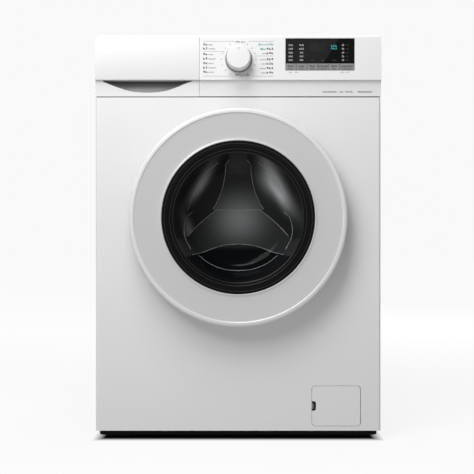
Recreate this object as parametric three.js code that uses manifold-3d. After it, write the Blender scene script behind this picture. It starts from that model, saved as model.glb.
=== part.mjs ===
// Front load washing machine, in millimetres.
// +Z is up, the door faces -Y, and the origin lies on the floor under the middle of the machine.
import * as THREE from 'three';
import { mergeVertices } from 'three/addons/utils/BufferGeometryUtils.js';
import Module from 'manifold-3d';

// Cabinet
const width = 596;
const height = 845;
const halfWidth = width / 2;
const panelFace = -246; // outer face of the front panel
const rearFace = 278; // outer face of the rear panel
const sheet = 1.2; // steel sheet
const gap = 0.3; // clearance between touching pieces
const topCorner = 11; // radius of the top corners seen from the front
const panelBottom = 19;
const panelTop = 716.6;
const returnDepth = 13; // how far the front panel's edges turn back
const panelBend = 5;
const worktopFront = -204.6;
const worktopUnder = 823;
const panelSideTop = 822.4;
const panelSideBottom = 22;

// Control fascia and drawer front
const fasciaFace = -255;
const fasciaBack = -205;
const fasciaBottom = 717.2;
const creaseHeight = 751;
const fasciaWall = 2.5;
const drawerEdge = -81; // the upright seam between drawer front and fascia
const drawerBack = -239;

// Display, keys and knob
const displayLeft = 98.1;
const displayRight = 242.2;
const displayTop = 837.5;
const keyTop = 785.2;
const keyBottom = 770.4;
const keyPitch = 22.58;
const keyCount = 6;
const knobX = 1;
const knobZ = 794;

// Drum axis and door
const axisHeight = 464;
const doorRadius = 225;
const doorFront = -290;
const doorBack = -249;
const windowRadius = 157;
const panelHoleRadius = 176.8;
const hingeX = -212;
const hingeY = -268;
const hingeSpan = 34; // the knuckles stand this far above and below the middle

// Wash group
const tubRadius = 268;
const tubWall = 3;
const drumRadius = 240;
const drumWall = 1.2;
const shaftRadius = 12.5;
const pulleyY = 214;
const pulleyWidth = 14;
const drumPulleyRadius = 130;
const motorPulleyRadius = 10;
const motorDrop = 328; // motor axis below the drum axis
const springX = 225;
const damperX = 195;
const mountY = 60; // springs and dampers stand in this plane

// Lower front corner and feet
const flapLeft = 153.5;
const flapRight = 256.3;
const flapBottom = 28.4;
const flapTop = 112.9;
const flapCorner = 7.5;
const pumpX = 205;
const pumpZ = 72;
const footX = 246;
const footFrontY = -205;
const footRearY = 240;

// Facets round a full turn
const fine = 32;
const medium = 24;
const coarse = 12;

const wasm = await Module();
wasm.setup();

const finishes = {
  whiteEnamel: { color: 0xf0f0f0, roughness: 0.35, metalness: 0.1 },
  whitePlastic: { color: 0xf1f1f1, roughness: 0.4, metalness: 0 },
  greyPlastic: { color: 0xc9cacb, roughness: 0.38, metalness: 0 },
  keyGrey: { color: 0x9a9c9e, roughness: 0.4, metalness: 0 },
  blackGloss: { color: 0x0b0c0d, roughness: 0.08, metalness: 0 },
  darkGlass: { color: 0x15181a, roughness: 0.05, metalness: 0 },
  blackPlastic: { color: 0x1d1e20, roughness: 0.55, metalness: 0 },
  greyRubber: { color: 0x6d7073, roughness: 0.8, metalness: 0 },
  blackRubber: { color: 0x161616, roughness: 0.85, metalness: 0 },
  tubPlastic: { color: 0xb9bcbe, roughness: 0.6, metalness: 0 },
  stainless: { color: 0xc4c7ca, roughness: 0.28, metalness: 1 },
  zincSteel: { color: 0xaab0b4, roughness: 0.42, metalness: 1 },
  castAlloy: { color: 0x9b9ea1, roughness: 0.5, metalness: 1 },
  concrete: { color: 0x8e8c88, roughness: 0.95, metalness: 0 },
  circuitGreen: { color: 0x1f5a3a, roughness: 0.5, metalness: 0 },
};

// Turns a three.js geometry into a solid that can be cut and joined.
function solidFrom(geometry) {
  const bare = geometry.clone();
  bare.deleteAttribute('normal');
  bare.deleteAttribute('uv');
  const merged = mergeVertices(bare, 1e-4);
  const corners = merged.index.array;
  const kept = [];
  for (let i = 0; i < corners.length; i += 3) {
    const [a, b, c] = [corners[i], corners[i + 1], corners[i + 2]];
    if (a !== b && b !== c && c !== a) kept.push(a, b, c);
  }
  return new wasm.Manifold(new wasm.Mesh({
    numProp: 3,
    vertProperties: new Float32Array(merged.attributes.position.array),
    triVerts: new Uint32Array(kept),
  }));
}

function geometryFrom(solid) {
  const mesh = solid.getMesh();
  const geometry = new THREE.BufferGeometry();
  geometry.setAttribute('position', new THREE.BufferAttribute(mesh.vertProperties, 3));
  geometry.setIndex(new THREE.BufferAttribute(mesh.triVerts, 1));
  geometry.computeVertexNormals();
  return geometry;
}

function piece(name, solid, finish) {
  const mesh = new THREE.Mesh(geometryFrom(solid), new THREE.MeshStandardMaterial(finish));
  mesh.name = name;
  return mesh;
}

function block(x0, x1, y0, y1, z0, z1) {
  const geometry = new THREE.BoxGeometry(Math.abs(x1 - x0), y1 - y0, z1 - z0);
  geometry.translate((x0 + x1) / 2, (y0 + y1) / 2, (z0 + z1) / 2);
  return solidFrom(geometry);
}

function polygon(points) {
  return new THREE.Shape(points.map(([a, b]) => new THREE.Vector2(a, b)));
}

function roundedRectangle(x0, x1, y0, y1, radius) {
  const shape = new THREE.Shape();
  shape.absarc(x1 - radius, y0 + radius, radius, -Math.PI / 2, 0);
  shape.absarc(x1 - radius, y1 - radius, radius, 0, Math.PI / 2);
  shape.absarc(x0 + radius, y1 - radius, radius, Math.PI / 2, Math.PI);
  shape.absarc(x0 + radius, y0 + radius, radius, Math.PI, Math.PI * 1.5);
  return shape;
}

function extruded(shape, depth, curveSegments = 4) {
  return new THREE.ExtrudeGeometry(shape, { depth, curveSegments, bevelEnabled: false });
}

// A shape drawn in X and Z, seen from the front, and carried from y0 to y1.
function frontPrism(shape, y0, y1, curveSegments) {
  const geometry = extruded(shape, y1 - y0, curveSegments);
  geometry.rotateX(Math.PI / 2);
  geometry.translate(0, y1, 0);
  return solidFrom(geometry);
}

// A shape drawn in Y and Z, seen from the side, and carried from x0 to x1.
function sidePrism(shape, x0, x1, curveSegments) {
  const geometry = extruded(shape, x1 - x0, curveSegments);
  geometry.applyMatrix4(new THREE.Matrix4().makeBasis(
    new THREE.Vector3(0, 1, 0), new THREE.Vector3(0, 0, 1), new THREE.Vector3(1, 0, 0)));
  geometry.translate(x0, 0, 0);
  return solidFrom(geometry);
}

// A shape drawn in X and Y, seen from above, and carried from z0 to z1.
function planPrism(shape, z0, z1, curveSegments) {
  const geometry = extruded(shape, z1 - z0, curveSegments);
  geometry.translate(0, 0, z0);
  return solidFrom(geometry);
}

// A profile of [radius, y] points turned about a front-to-back line.
function turnedGeometry(profile, segments) {
  const outline = profile.map(([r, y]) => new THREE.Vector2(r, y));
  if (THREE.ShapeUtils.area(outline) < 0) outline.reverse();
  outline.push(outline[0].clone());
  return new THREE.LatheGeometry(outline, segments);
}

function turned(profile, segments, x = 0, z = 0) {
  const geometry = turnedGeometry(profile, segments);
  geometry.translate(x, 0, z);
  return solidFrom(geometry);
}

// A profile of [radius, z] points turned about an upright line.
function turnedUpright(profile, segments, x = 0, y = 0) {
  const geometry = turnedGeometry(profile, segments);
  geometry.rotateX(Math.PI / 2);
  geometry.translate(x, y, 0);
  return solidFrom(geometry);
}

function rod(radius, y0, y1, segments, x = 0, z = 0) {
  return turned([[0, y0], [radius, y0], [radius, y1], [0, y1]], segments, x, z);
}

function post(radius, z0, z1, segments, x = 0, y = 0) {
  return turnedUpright([[0, z0], [radius, z0], [radius, z1], [0, z1]], segments, x, y);
}

// The closed outline of a wall of even thickness along a line of points.
function wallAlong(line, thickness) {
  const points = line.map(([a, b]) => new THREE.Vector2(a, b));
  const across = (from, to) => {
    const along = to.clone().sub(from).normalize();
    return new THREE.Vector2(-along.y, along.x);
  };
  const end = points.length - 1;
  const offset = (sign) => points.map((point, i) => {
    const next = across(points[Math.min(i, end - 1)], points[Math.min(i + 1, end)]);
    const last = across(points[Math.max(i - 1, 0)], points[Math.max(i, 1)]);
    const middle = next.clone().add(last).normalize();
    const reach = (sign * thickness) / 2 / middle.dot(next);
    return [point.x + middle.x * reach, point.y + middle.y * reach];
  });
  return [...offset(1), ...offset(-1).reverse()];
}

function hose(route, radius, steps) {
  const sides = 8;
  const section = [];
  for (let i = 0; i < sides; i += 1) {
    const turn = (i / sides) * Math.PI * 2;
    section.push([Math.cos(turn) * radius, Math.sin(turn) * radius]);
  }
  const path = new THREE.CatmullRomCurve3(route.map(([x, y, z]) => new THREE.Vector3(x, y, z)));
  return solidFrom(new THREE.ExtrudeGeometry(polygon(section), { steps, extrudePath: path }));
}

// ---- cabinet ----

// side is 1 for the right-hand panel and -1 for the left-hand one
function sidePanel(side) {
  const front = panelFace + returnDepth + 2 * gap;
  const back = rearFace - sheet - gap;
  const frontFlange = 16;
  const rearFlange = 18;
  const inner = halfWidth - sheet;
  const section = [
    [halfWidth, front], [halfWidth, back], [halfWidth - rearFlange, back],
    [halfWidth - rearFlange, back - sheet], [inner, back - sheet], [inner, front + sheet],
    [halfWidth - frontFlange, front + sheet], [halfWidth - frontFlange, front],
  ];
  const shell = planPrism(
    polygon(section.map(([x, y]) => [side * x, y])), panelSideBottom, panelSideTop);
  // the shelf that the tub spring hangs from
  const shelfEnd = side * (inner + 0.4);
  const shelf = block(side * (springX - 14), shelfEnd, mountY - 16, mountY + 16, 797, 800);
  const web = block(side * (inner - 3), shelfEnd, mountY - 16, mountY + 16, 765, 800);
  const fasciaRoom = block(
    0, side * (halfWidth + 1), front - 1, worktopFront, panelTop + gap, panelSideTop + 1);
  return shell.add(shelf).add(web).subtract(fasciaRoom);
}

function rearPanel() {
  const half = halfWidth - gap;
  const plate = block(-half, half, rearFace - sheet, rearFace, panelSideBottom, panelSideTop);
  const flangeDepth = 14;
  const inside = halfWidth - 22;
  const flanges = [panelSideBottom, panelSideTop - sheet].map((z) => block(
    -inside, inside, rearFace - flangeDepth, rearFace - sheet / 2, z, z + sheet));
  const serviceHole = frontPrism(roundedRectangle(-155, 155, 305, 635, 30), rearFace - 4, rearFace + 2);
  const places = [[-215, 780, 16], [-80, 797, 9.5], [235, 785, 13]];
  const holes = places.map(([x, z, r]) => rod(r, rearFace - 4, rearFace + 2, coarse, x, z));
  const panel = plate.add(flanges[0]).add(flanges[1]);
  return holes.concat(serviceHole).reduce((solid, hole) => solid.subtract(hole), panel);
}

function rearServiceCover() {
  const face = rearFace + gap;
  const dish = 5;
  const rim = frontPrism(roundedRectangle(-170, 170, 290, 650, 22), face, face + sheet);
  const raised = frontPrism(roundedRectangle(-148, 148, 312, 628, 26), face, face + dish);
  const hollow = frontPrism(roundedRectangle(-146.8, 146.8, 313.2, 626.8, 25), face - 1, face + dish - sheet);
  return rim.add(raised).subtract(hollow);
}

function topOutline(inset, bottom) {
  const side = halfWidth - inset;
  const top = height - inset;
  const radius = topCorner - inset / 2;
  const shape = new THREE.Shape();
  shape.moveTo(-side, bottom);
  shape.lineTo(side, bottom);
  shape.absarc(side - radius, top - radius, radius, 0, Math.PI / 2);
  shape.absarc(-side + radius, top - radius, radius, Math.PI / 2, Math.PI);
  return shape;
}

function worktop() {
  const slab = frontPrism(topOutline(0, worktopUnder), worktopFront, rearFace);
  const rim = 16;
  const board = 16;
  const hollow = block(-halfWidth + rim, halfWidth - rim, worktopFront + rim, rearFace - rim,
    worktopUnder - 1, height - board);
  return slab.subtract(hollow);
}

function frontPanel() {
  const back = panelFace + returnDepth;
  const bendCentre = panelFace + panelBend;
  const section = new THREE.Shape();
  section.moveTo(-halfWidth, back);
  section.absarc(-halfWidth + panelBend, bendCentre, panelBend, Math.PI, Math.PI * 1.5);
  section.absarc(halfWidth - panelBend, bendCentre, panelBend, Math.PI * 1.5, Math.PI * 2);
  section.lineTo(halfWidth, back);
  section.lineTo(halfWidth - sheet, back);
  section.absarc(halfWidth - panelBend, bendCentre, panelBend - sheet, 0, -Math.PI / 2, true);
  section.absarc(-halfWidth + panelBend, bendCentre, panelBend - sheet, -Math.PI / 2, -Math.PI, true);
  section.lineTo(-halfWidth + sheet, back);
  const skin = planPrism(section, panelBottom, panelTop);
  const edge = halfWidth - panelBend;
  const flanges = [panelBottom, panelTop - sheet].map((z) => block(
    -edge, edge, panelFace + sheet / 2, back, z, z + sheet));
  const lip = turned([
    [panelHoleRadius, panelFace + sheet / 2], [panelHoleRadius + sheet, panelFace + sheet / 2],
    [panelHoleRadius + sheet, panelFace + 10], [panelHoleRadius, panelFace + 10],
  ], fine, 0, axisHeight);
  const doorHole = rod(panelHoleRadius, panelFace - 2, panelFace + 4, fine, 0, axisHeight);
  const latchSlot = block(188, 206, panelFace - 2, panelFace + 4, axisHeight - 15, axisHeight + 15);
  const flapHole = frontPrism(
    roundedRectangle(flapLeft, flapRight, flapBottom, flapTop, flapCorner), panelFace - 2, panelFace + 4);
  return skin.add(flanges[0]).add(flanges[1]).subtract(doorHole).add(lip)
    .subtract(latchSlot).subtract(flapHole);
}

function basePlinth() {
  const half = 292;
  const upperHalf = 279;
  const floor = 9;
  const step = 18.6;
  const top = 52;
  const front = -238;
  const back = 272;
  const wall = 4;
  const skirt = planPrism(roundedRectangle(-half, half, front, back, 12), floor, step);
  const box = planPrism(roundedRectangle(-upperHalf, upperHalf, front + 8, back - 10, 12), floor, top);
  const hollow = planPrism(roundedRectangle(
    -upperHalf + wall, upperHalf - wall, front + 8 + wall, back - 10 - wall, 9), floor + wall, top + 1);
  const opening = planPrism(roundedRectangle(-140, 140, -130, 190, 20), floor - 1, floor + wall + 1);
  const tray = skirt.add(box);
  let base = tray.subtract(hollow).subtract(opening);
  for (const x of [-footX, footX]) {
    for (const y of [footFrontY, footRearY]) {
      base = base.add(post(15, floor, 40, coarse, x, y));
      base = base.subtract(post(22, floor - 1, floor + 3, coarse, x, y));
      base = base.subtract(post(5.6, floor - 1, 41, coarse, x, y));
    }
    const side = Math.sign(x) * damperX;
    base = base.add(block(side - 15, side + 15, mountY - 15, mountY + 15, floor + 1, 49.5));
  }
  return base;
}

// ---- control fascia and drawer ----

function fasciaSection(inset) {
  const face = fasciaFace + inset;
  const top = height - inset;
  const round = 6;
  const shape = new THREE.Shape();
  shape.moveTo(fasciaBack + inset * 4, fasciaBottom + inset);
  shape.lineTo(fasciaBack + inset * 4, top);
  shape.absarc(face + round, top - round, round, Math.PI / 2, Math.PI);
  shape.lineTo(face, creaseHeight);
  shape.lineTo(face + 0.8, creaseHeight - 2.4);
  shape.lineTo(face + 5.5, creaseHeight - 12);
  shape.lineTo(face + 7.6, creaseHeight - 24);
  shape.lineTo(face + 8.2, fasciaBottom + inset);
  return shape;
}

function fasciaBody(inset, x0, x1) {
  const section = sidePrism(fasciaSection(inset), x0, x1);
  return section.intersect(frontPrism(topOutline(inset, 700), fasciaFace - 5, fasciaBack + 20));
}

function controlFascia() {
  const step = drawerEdge + gap;
  const outer = fasciaBody(0, -halfWidth, halfWidth)
    .subtract(block(-halfWidth - 1, step, fasciaFace - 5, drawerBack + gap, 700, height + 1));
  const stepWall = block(
    -halfWidth, step + fasciaWall, fasciaFace - 5, drawerBack + gap + fasciaWall, 700, height);
  const hollow = fasciaBody(fasciaWall, step + fasciaWall, halfWidth)
    .add(fasciaBody(fasciaWall, -halfWidth, step + fasciaWall + 1).subtract(stepWall));
  const openUnder = block(
    -halfWidth + 6, halfWidth - 6, -238 + fasciaWall + 2, fasciaBack + 1, 716, 735);
  const mouth = block(-285, -95, drawerBack - 1, drawerBack + 6, 751, 822);
  const seat = block(
    displayLeft - 6, displayRight + 6, fasciaFace + 1, fasciaFace + 6, keyBottom - 6, height - 4);
  const window = block(
    displayLeft, displayRight, fasciaFace - 1, fasciaFace + 2.6, keyTop - 1, displayTop);
  const lightHole = block(
    displayLeft + 5, displayRight - 5, fasciaFace, fasciaFace + 8, keyTop + 4, displayTop - 5);
  const keyHole = block(displayLeft, displayRight, fasciaFace - 1, fasciaFace + 8, keyBottom, keyTop);
  const knobHole = rod(4.2, fasciaFace - 1, fasciaFace + 8, coarse, knobX, knobZ);
  return outer.subtract(hollow).subtract(openUnder).subtract(mouth).add(seat)
    .subtract(window).subtract(lightHole).subtract(keyHole).subtract(knobHole);
}

function displayWindow() {
  return block(
    displayLeft + gap, displayRight - gap, fasciaFace, fasciaFace + 2.2, keyTop + gap, displayTop - gap);
}

function controlBoard() {
  const board = block(-40, 248, -241, -239.4, 758, 838);
  const module = block(displayLeft + 8, displayRight - 8, -246, -240, keyTop + 8, displayTop - 8);
  const encoder = block(knobX - 7, knobX + 7, -243, -240, knobZ - 7, knobZ + 7);
  const supply = block(30, 75, -240, -215, 770, 820);
  const relays = block(150, 205, -240, -224, 775, 800);
  return board.add(module).add(encoder).add(supply).add(relays);
}

function key(index) {
  const left = displayLeft + index * keyPitch;
  const right = index === keyCount - 1 ? displayRight : left + keyPitch;
  const side = 0.35;
  const cap = block(
    left + side, right - side, fasciaFace - 0.4, fasciaFace + 5, keyBottom + side, keyTop - side);
  const x = (left + right) / 2;
  const z = (keyBottom + keyTop) / 2;
  const stem = block(x - 3, x + 3, fasciaFace + 4, fasciaFace + 11, z - 2, z + 2);
  return cap.add(stem);
}

function programKnob() {
  const back = fasciaFace - 0.4;
  return turned([
    [0, back + 12], [3, back + 12], [3, back], [28, back], [28, back - 2.6], [25.6, back - 4.4],
    [24.6, back - 22], [23, back - 24.6], [18, back - 25.6], [0, back - 25.6],
  ], fine, knobX, knobZ);
}

// The flat-topped crescent that fingers reach into to pull the drawer.
function pocketShape(grow) {
  const top = 748.5 + grow;
  const half = 80 + grow;
  const depth = 22.5 + grow * 2;
  const radius = (half * half + depth * depth) / (2 * depth);
  const swing = Math.asin(half / radius);
  const shape = new THREE.Shape();
  shape.absarc(-191, top - depth + radius, radius, -Math.PI / 2 - swing, -Math.PI / 2 + swing);
  return shape;
}

function drawerFront() {
  const edge = drawerEdge - gap;
  const body = fasciaBody(0, -halfWidth, edge).subtract(
    block(-halfWidth - 1, edge + 1, drawerBack, 0, 700, height + 1));
  const hollow = fasciaBody(fasciaWall, -halfWidth, edge - fasciaWall).subtract(
    block(-halfWidth, edge, drawerBack - 3, 0, 700, height + 1));
  const open = block(-halfWidth + 6, edge - 6, drawerBack - 3.4, drawerBack + 1, fasciaBottom + 4, 750);
  const well = frontPrism(pocketShape(2.5), fasciaFace + 5, drawerBack, 10);
  const pocket = frontPrism(pocketShape(0), fasciaFace - 3, drawerBack - 2.4, 10);
  return body.subtract(hollow).subtract(open).add(well).subtract(pocket);
}

function drawerTray() {
  const front = drawerBack + gap;
  const bottom = 758;
  const top = 812;
  const wall = 2;
  const body = block(-279, -101, front, 8, bottom, top);
  const compartments = [[-277, -215], [-213, -167], [-165, -103]];
  return compartments.reduce((solid, [x0, x1]) => solid.subtract(
    block(x0, x1, front + 10, 8 - wall, bottom + wall, top + 1)), body);
}

function dispenserHousing() {
  const box = block(-284, -96, -234, 30, 753, 820);
  const cavity = block(-282, -98, -236, 28, 755, 816);
  const spigot = post(14, 742, 754, coarse, -190, 10);
  const bore = post(11, 741, 756, coarse, -190, 10);
  return box.subtract(cavity).add(spigot).subtract(bore);
}

// ---- door, built about the drum axis ----

// The hollow behind the rim, opposite the hinge, that fingers reach into to pull the door.
function fingerGrip() {
  return block(207.5, doorRadius + 5, -264, doorBack + 3, -45, 45);
}

function doorOuterFrame() {
  const wall = 3;
  const line = [
    [216.5, doorBack], [221.5, doorBack - 6], [doorRadius - 1.5, doorBack - 14],
    [doorRadius - 1.5, doorFront + 9], [doorRadius - 5, doorFront + 1.6], [213, doorFront + 2.2],
    [164, doorFront + 6.5], [windowRadius + 2, doorFront + 4.5], [windowRadius + 2, doorFront + 17],
  ];
  let frame = turned(wallAlong(line, wall), fine).subtract(fingerGrip());
  // slots that the hinge's necks pass through as the door swings open
  for (const z of [-hingeSpan, hingeSpan]) {
    frame = frame.subtract(block(-doorRadius - 5, -205, -276, doorBack + 3, z - 4, z + 4));
  }
  return frame;
}

function doorWindowBezel() {
  const outer = windowRadius + 0.2;
  return turned([
    [outer, doorFront + 7.4], [outer, doorFront + 16.6], [134, doorFront + 16.6], [134, doorFront + 14.5],
    [141, doorFront + 13], [147, doorFront + 10.4], [152, doorFront + 9.6],
  ], fine);
}

function doorGlass() {
  const line = [
    [154, -271], [135, -271], [130, -262], [112, -194], [97, -182], [62, -176.5], [30, -175.5], [0, -175.5],
  ];
  return turned(wallAlong(line, 4), fine);
}

function doorInnerFrame() {
  const wall = 3;
  const line = [[152.5, -267.2], [142.5, -267.2], [142.5, -251], [212, -251], [212, -262]];
  const ring = turned(wallAlong(line, wall), fine);
  const hingePocket = block(-224, -182, -270, doorBack + 3, -41, 41);
  const latchPocket = block(187, 207, -270, doorBack + 3, -15, 15);
  const boss = block(-181.7, -158, -261.6, -251, -24, 24);
  return ring.add(boss).subtract(hingePocket).subtract(latchPocket).subtract(fingerGrip());
}

function doorHingeArm() {
  const barrel = post(5, -hingeSpan + 1.9, hingeSpan - 1.9, coarse, hingeX, hingeY);
  const plate = block(hingeX, -160, hingeY + 2.6, hingeY + 5.6, -22, 22);
  const bore = post(2.9, -hingeSpan, hingeSpan, coarse, hingeX, hingeY);
  return barrel.add(plate).subtract(bore);
}

// Two goosenecks carry the hinge pin clear of the door's rim.
function doorHingeBracket() {
  const neck = [
    [hingeX, hingeY - 4.4], [-191, hingeY - 4.4], [-187, hingeY + 1], [-187, panelFace - gap - 1],
    [-193.5, panelFace - gap - 1], [-193.5, hingeY + 3], [hingeX, hingeY + 4.4],
  ];
  const pin = post(2.5, -hingeSpan - 2, hingeSpan + 2, coarse, hingeX, hingeY);
  const plate = block(-198, -180.5, panelFace - gap - 2.2, panelFace - gap, -46, 46);
  let bracket = pin.add(plate);
  for (const z of [-hingeSpan - 1.5, hingeSpan - 1.5]) {
    bracket = bracket.add(planPrism(polygon(neck), z, z + 3));
    bracket = bracket.add(post(4.6, z, z + 3, coarse, hingeX, hingeY));
  }
  return bracket;
}

function latchHook() {
  const base = block(190, 202, -260.5, -252.6, -12, 12);
  const shank = block(194, 199, -253, -230, -9, 9);
  // the nose slopes so that it slides past the catch as the door shuts
  const nose = planPrism(polygon([[198.5, -230], [198.5, -238], [203, -238], [203, -236]]), -9, 9);
  return base.add(shank).add(nose);
}

function doorLock() {
  const body = block(184, 230, panelFace + sheet + gap, -214, -42, 42);
  const slot = block(188, 206, panelFace, -220, -14, 14);
  return body.subtract(slot);
}

function doorGasket() {
  const line = [
    [137, -240.5], [166, -247.4], [173, -244.5], [173, -235], [158, -230], [158, -225.5], [176, -221],
    [176, -215], [166, -212], [166, -203],
  ];
  return turned(wallAlong(line, 2.4), medium);
}

// ---- wash group, built about the drum axis ----

function tubFront() {
  const line = [
    [162, -212], [162, -198.5], [254, -198.5], [tubRadius - 1.5, -188], [tubRadius - 1.5, -34], [275, -34],
  ];
  return turned(wallAlong(line, tubWall), medium);
}

function tubRear() {
  const line = [
    [275, -30.5], [tubRadius - 1.5, -30.5], [tubRadius - 1.5, 150], [256, 162], [40, 164],
  ];
  let tub = turned(wallAlong(line, tubWall), medium);
  tub = tub.add(turned([[32, 146], [46, 146], [46, 206], [32, 206]], medium));
  for (const side of [-1, 1]) {
    const spring = side * springX;
    tub = tub.add(block(spring - 15, spring + 15, mountY - 8, mountY + 8, 128, 172));
    const damper = side * damperX;
    tub = tub.add(block(damper - 14, damper + 14, mountY - 12, mountY + 12, -200, -176));
    tub = tub.add(block(side * 44, side * 62, 70, 100, -286, -252));
  }
  tub = tub.add(post(13, -284, -262, coarse, 20, 20));
  const inside = turned([
    [0, -40], [tubRadius - tubWall, -40], [tubRadius - tubWall, 149.5], [0, 149.5],
  ], medium);
  const hub = turned([[0, 140], [47, 140], [47, 170], [0, 170]], medium);
  return tub.subtract(inside.subtract(hub));
}

function counterweight(start, end) {
  const shape = new THREE.Shape();
  shape.absarc(0, 0, 262, start, end);
  shape.absarc(0, 0, 184, end, start, true);
  return frontPrism(shape, -232, -200.4, 12);
}

function heater() {
  const bottom = -251.5;
  const reach = 60;
  return hose([
    [-28, -188, bottom], [-28, -80, bottom], [-28, reach - 20, bottom], [-20, reach, bottom],
    [0, reach + 8, bottom], [20, reach, bottom], [28, reach - 20, bottom], [28, -80, bottom],
    [28, -188, bottom],
  ], 3.6, 26);
}

function motor() {
  const body = turned([
    [0, 60], [34, 60], [50, 72], [50, 178], [34, 190], [0, 190],
  ], medium, 0, -motorDrop);
  return body.add(block(-64, 64, 72, 98, -motorDrop + 20, -286.4));
}

function motorPulley() {
  const y = pulleyY - 1;
  return turned([
    [0, 191], [6, 191], [6, y], [motorPulleyRadius, y], [motorPulleyRadius, y + pulleyWidth + 2],
    [0, y + pulleyWidth + 2],
  ], coarse, 0, -motorDrop);
}

function driveBelt() {
  const loop = (big, small) => {
    const lean = Math.asin((big - small) / motorDrop);
    const shape = new THREE.Shape();
    shape.absarc(0, 0, big, -lean, Math.PI + lean);
    shape.absarc(0, -motorDrop, small, Math.PI + lean, Math.PI * 2 - lean);
    return shape;
  };
  const thickness = 4;
  const slack = 0.5;
  const y0 = pulleyY + 1;
  const y1 = pulleyY + pulleyWidth - 1;
  const outer = frontPrism(
    loop(drumPulleyRadius + slack + thickness, motorPulleyRadius + slack + thickness), y0, y1, 16);
  const inner = frontPrism(loop(drumPulleyRadius + slack, motorPulleyRadius + slack), y0 - 1, y1 + 1, 16);
  return outer.subtract(inner);
}

function bearingSet() {
  return turned([
    [shaftRadius + 0.5, 148], [31.6, 148], [31.6, 163], [20, 163], [20, 188], [31.6, 188], [31.6, 203],
    [shaftRadius + 0.5, 203],
  ], medium);
}

function drumShell() {
  const half = drumWall / 2;
  const line = [
    [167, -180], [170, -185], [228, -185], [drumRadius - half, -176], [drumRadius - half, 108],
    [231, 115], [70, 112], [0, 112],
  ];
  return turned(wallAlong(line, drumWall), medium);
}

// Lifters stand inward from the drum wall; the first one is at the top.
function lifter() {
  const outer = drumRadius - drumWall - 1.6;
  return frontPrism(polygon([
    [-30, outer - 2.6], [-19, outer - 22], [-11, outer - 46], [-5, outer - 55], [5, outer - 55],
    [11, outer - 46], [19, outer - 22], [30, outer - 2.6], [0, outer],
  ]), -160, 92);
}

function drumSpider() {
  let spider = turned([
    [0, 113.5], [40, 113.5], [34, 140], [shaftRadius, 144], [shaftRadius, 236], [0, 236],
  ], medium);
  const arm = [[-20, 10], [-13, 222], [13, 222], [20, 10]];
  for (let i = 0; i < 3; i += 1) {
    const turn = (i / 3) * Math.PI * 2;
    const turnedArm = arm.map(([x, z]) => [
      x * Math.cos(turn) + z * Math.sin(turn), z * Math.cos(turn) - x * Math.sin(turn)]);
    spider = spider.add(frontPrism(polygon(turnedArm), 117, 136));
  }
  return spider;
}

function drumPulley() {
  const edge = drumPulleyRadius;
  const wheel = turned([
    [shaftRadius + 0.4, pulleyY - 2], [26, pulleyY - 2], [26, pulleyY + 5], [edge - 8, pulleyY + 5],
    [edge - 8, pulleyY], [edge, pulleyY], [edge, pulleyY + pulleyWidth], [edge - 8, pulleyY + pulleyWidth],
    [edge - 8, pulleyY + 9], [26, pulleyY + 9], [26, pulleyY + pulleyWidth + 2],
    [shaftRadius + 0.4, pulleyY + pulleyWidth + 2],
  ], medium);
  let pulley = wheel;
  for (let i = 0; i < 5; i += 1) {
    const turn = (i / 5) * Math.PI * 2;
    const x = 74 * Math.sin(turn);
    const z = 74 * Math.cos(turn);
    pulley = pulley.subtract(rod(27, pulleyY - 5, pulleyY + 20, coarse, x, z));
  }
  return pulley;
}

function tubSpring() {
  return turnedUpright([[8, 640], [11, 640], [11, 796.5], [8, 796.5]], coarse);
}

function damperTube() {
  return turnedUpright([[0, 50], [16, 50], [16, 190], [8, 190], [8, 60], [0, 60]], coarse);
}

function damperRod() {
  return post(6, 95, axisHeight - 200.4, coarse);
}

// ---- water parts and feet ----

function drainPump() {
  const chamber = turned([
    [0, -120], [34, -120], [34, -214], [29, -214], [29, -140], [0, -140],
  ], medium, pumpX, pumpZ);
  const motorCan = rod(26, -121, -60, coarse, pumpX, pumpZ);
  const inlet = new THREE.CylinderGeometry(14, 14, 24, coarse);
  inlet.rotateZ(Math.PI / 2);
  inlet.translate(pumpX - 42, -165, pumpZ + 6);
  const bracket = block(pumpX - 22, pumpX + 22, -150, -80, 14, pumpZ - 20);
  return chamber.add(motorCan).add(bracket).add(
    solidFrom(inlet).subtract(rod(30, -220, -130, medium, pumpX, pumpZ)));
}

function pumpFilter() {
  const head = turned([
    [0, -146], [18, -146], [18, -196], [27.5, -198], [27.5, -222], [0, -222],
  ], medium, pumpX, pumpZ);
  const grip = block(pumpX - 18, pumpX + 18, -231, -221, pumpZ - 4, pumpZ + 4);
  return head.add(grip);
}

function filterFlap() {
  const face = panelFace - 0.2;
  const outline = roundedRectangle(
    flapLeft + 0.6, flapRight - 1, flapBottom + 0.6, flapTop - 0.6, flapCorner - 0.6);
  const plate = frontPrism(outline, face, face + 2.6);
  const notch = new THREE.Shape();
  const notchRadius = 5;
  notch.moveTo(flapLeft - 1, 60.5);
  notch.absarc(flapLeft + 9 - notchRadius, 60.5 + notchRadius, notchRadius, -Math.PI / 2, 0);
  notch.absarc(flapLeft + 9 - notchRadius, 80.5 - notchRadius, notchRadius, 0, Math.PI / 2);
  notch.lineTo(flapLeft - 1, 80.5);
  return plate.subtract(frontPrism(notch, face - 2, face + 5));
}

function inletValve() {
  const body = block(-245, -185, 236, rearFace - sheet - gap, 762, 798);
  const spout = rod(13, rearFace - 6, 290, coarse, -215, 780);
  const coils = [-232, -198].map((x) => post(11, 797, 815, coarse, x, 255));
  return body.add(spout).add(coils[0]).add(coils[1]);
}

function cableGland() {
  return turned([
    [4.5, 270], [11, 270], [11, 276.2], [9, 276.2], [9, 278.4], [12, 278.4], [12, 281], [8, 286], [4.5, 286],
  ], coarse, -80, 797);
}

function levellingFoot() {
  return turnedUpright([
    [0, 0], [19, 0], [20, 2], [20, 6], [17, 11], [9, 11.6], [5, 11.6], [5, 44], [0, 44],
  ], coarse);
}

// ---- assembly ----

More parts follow.
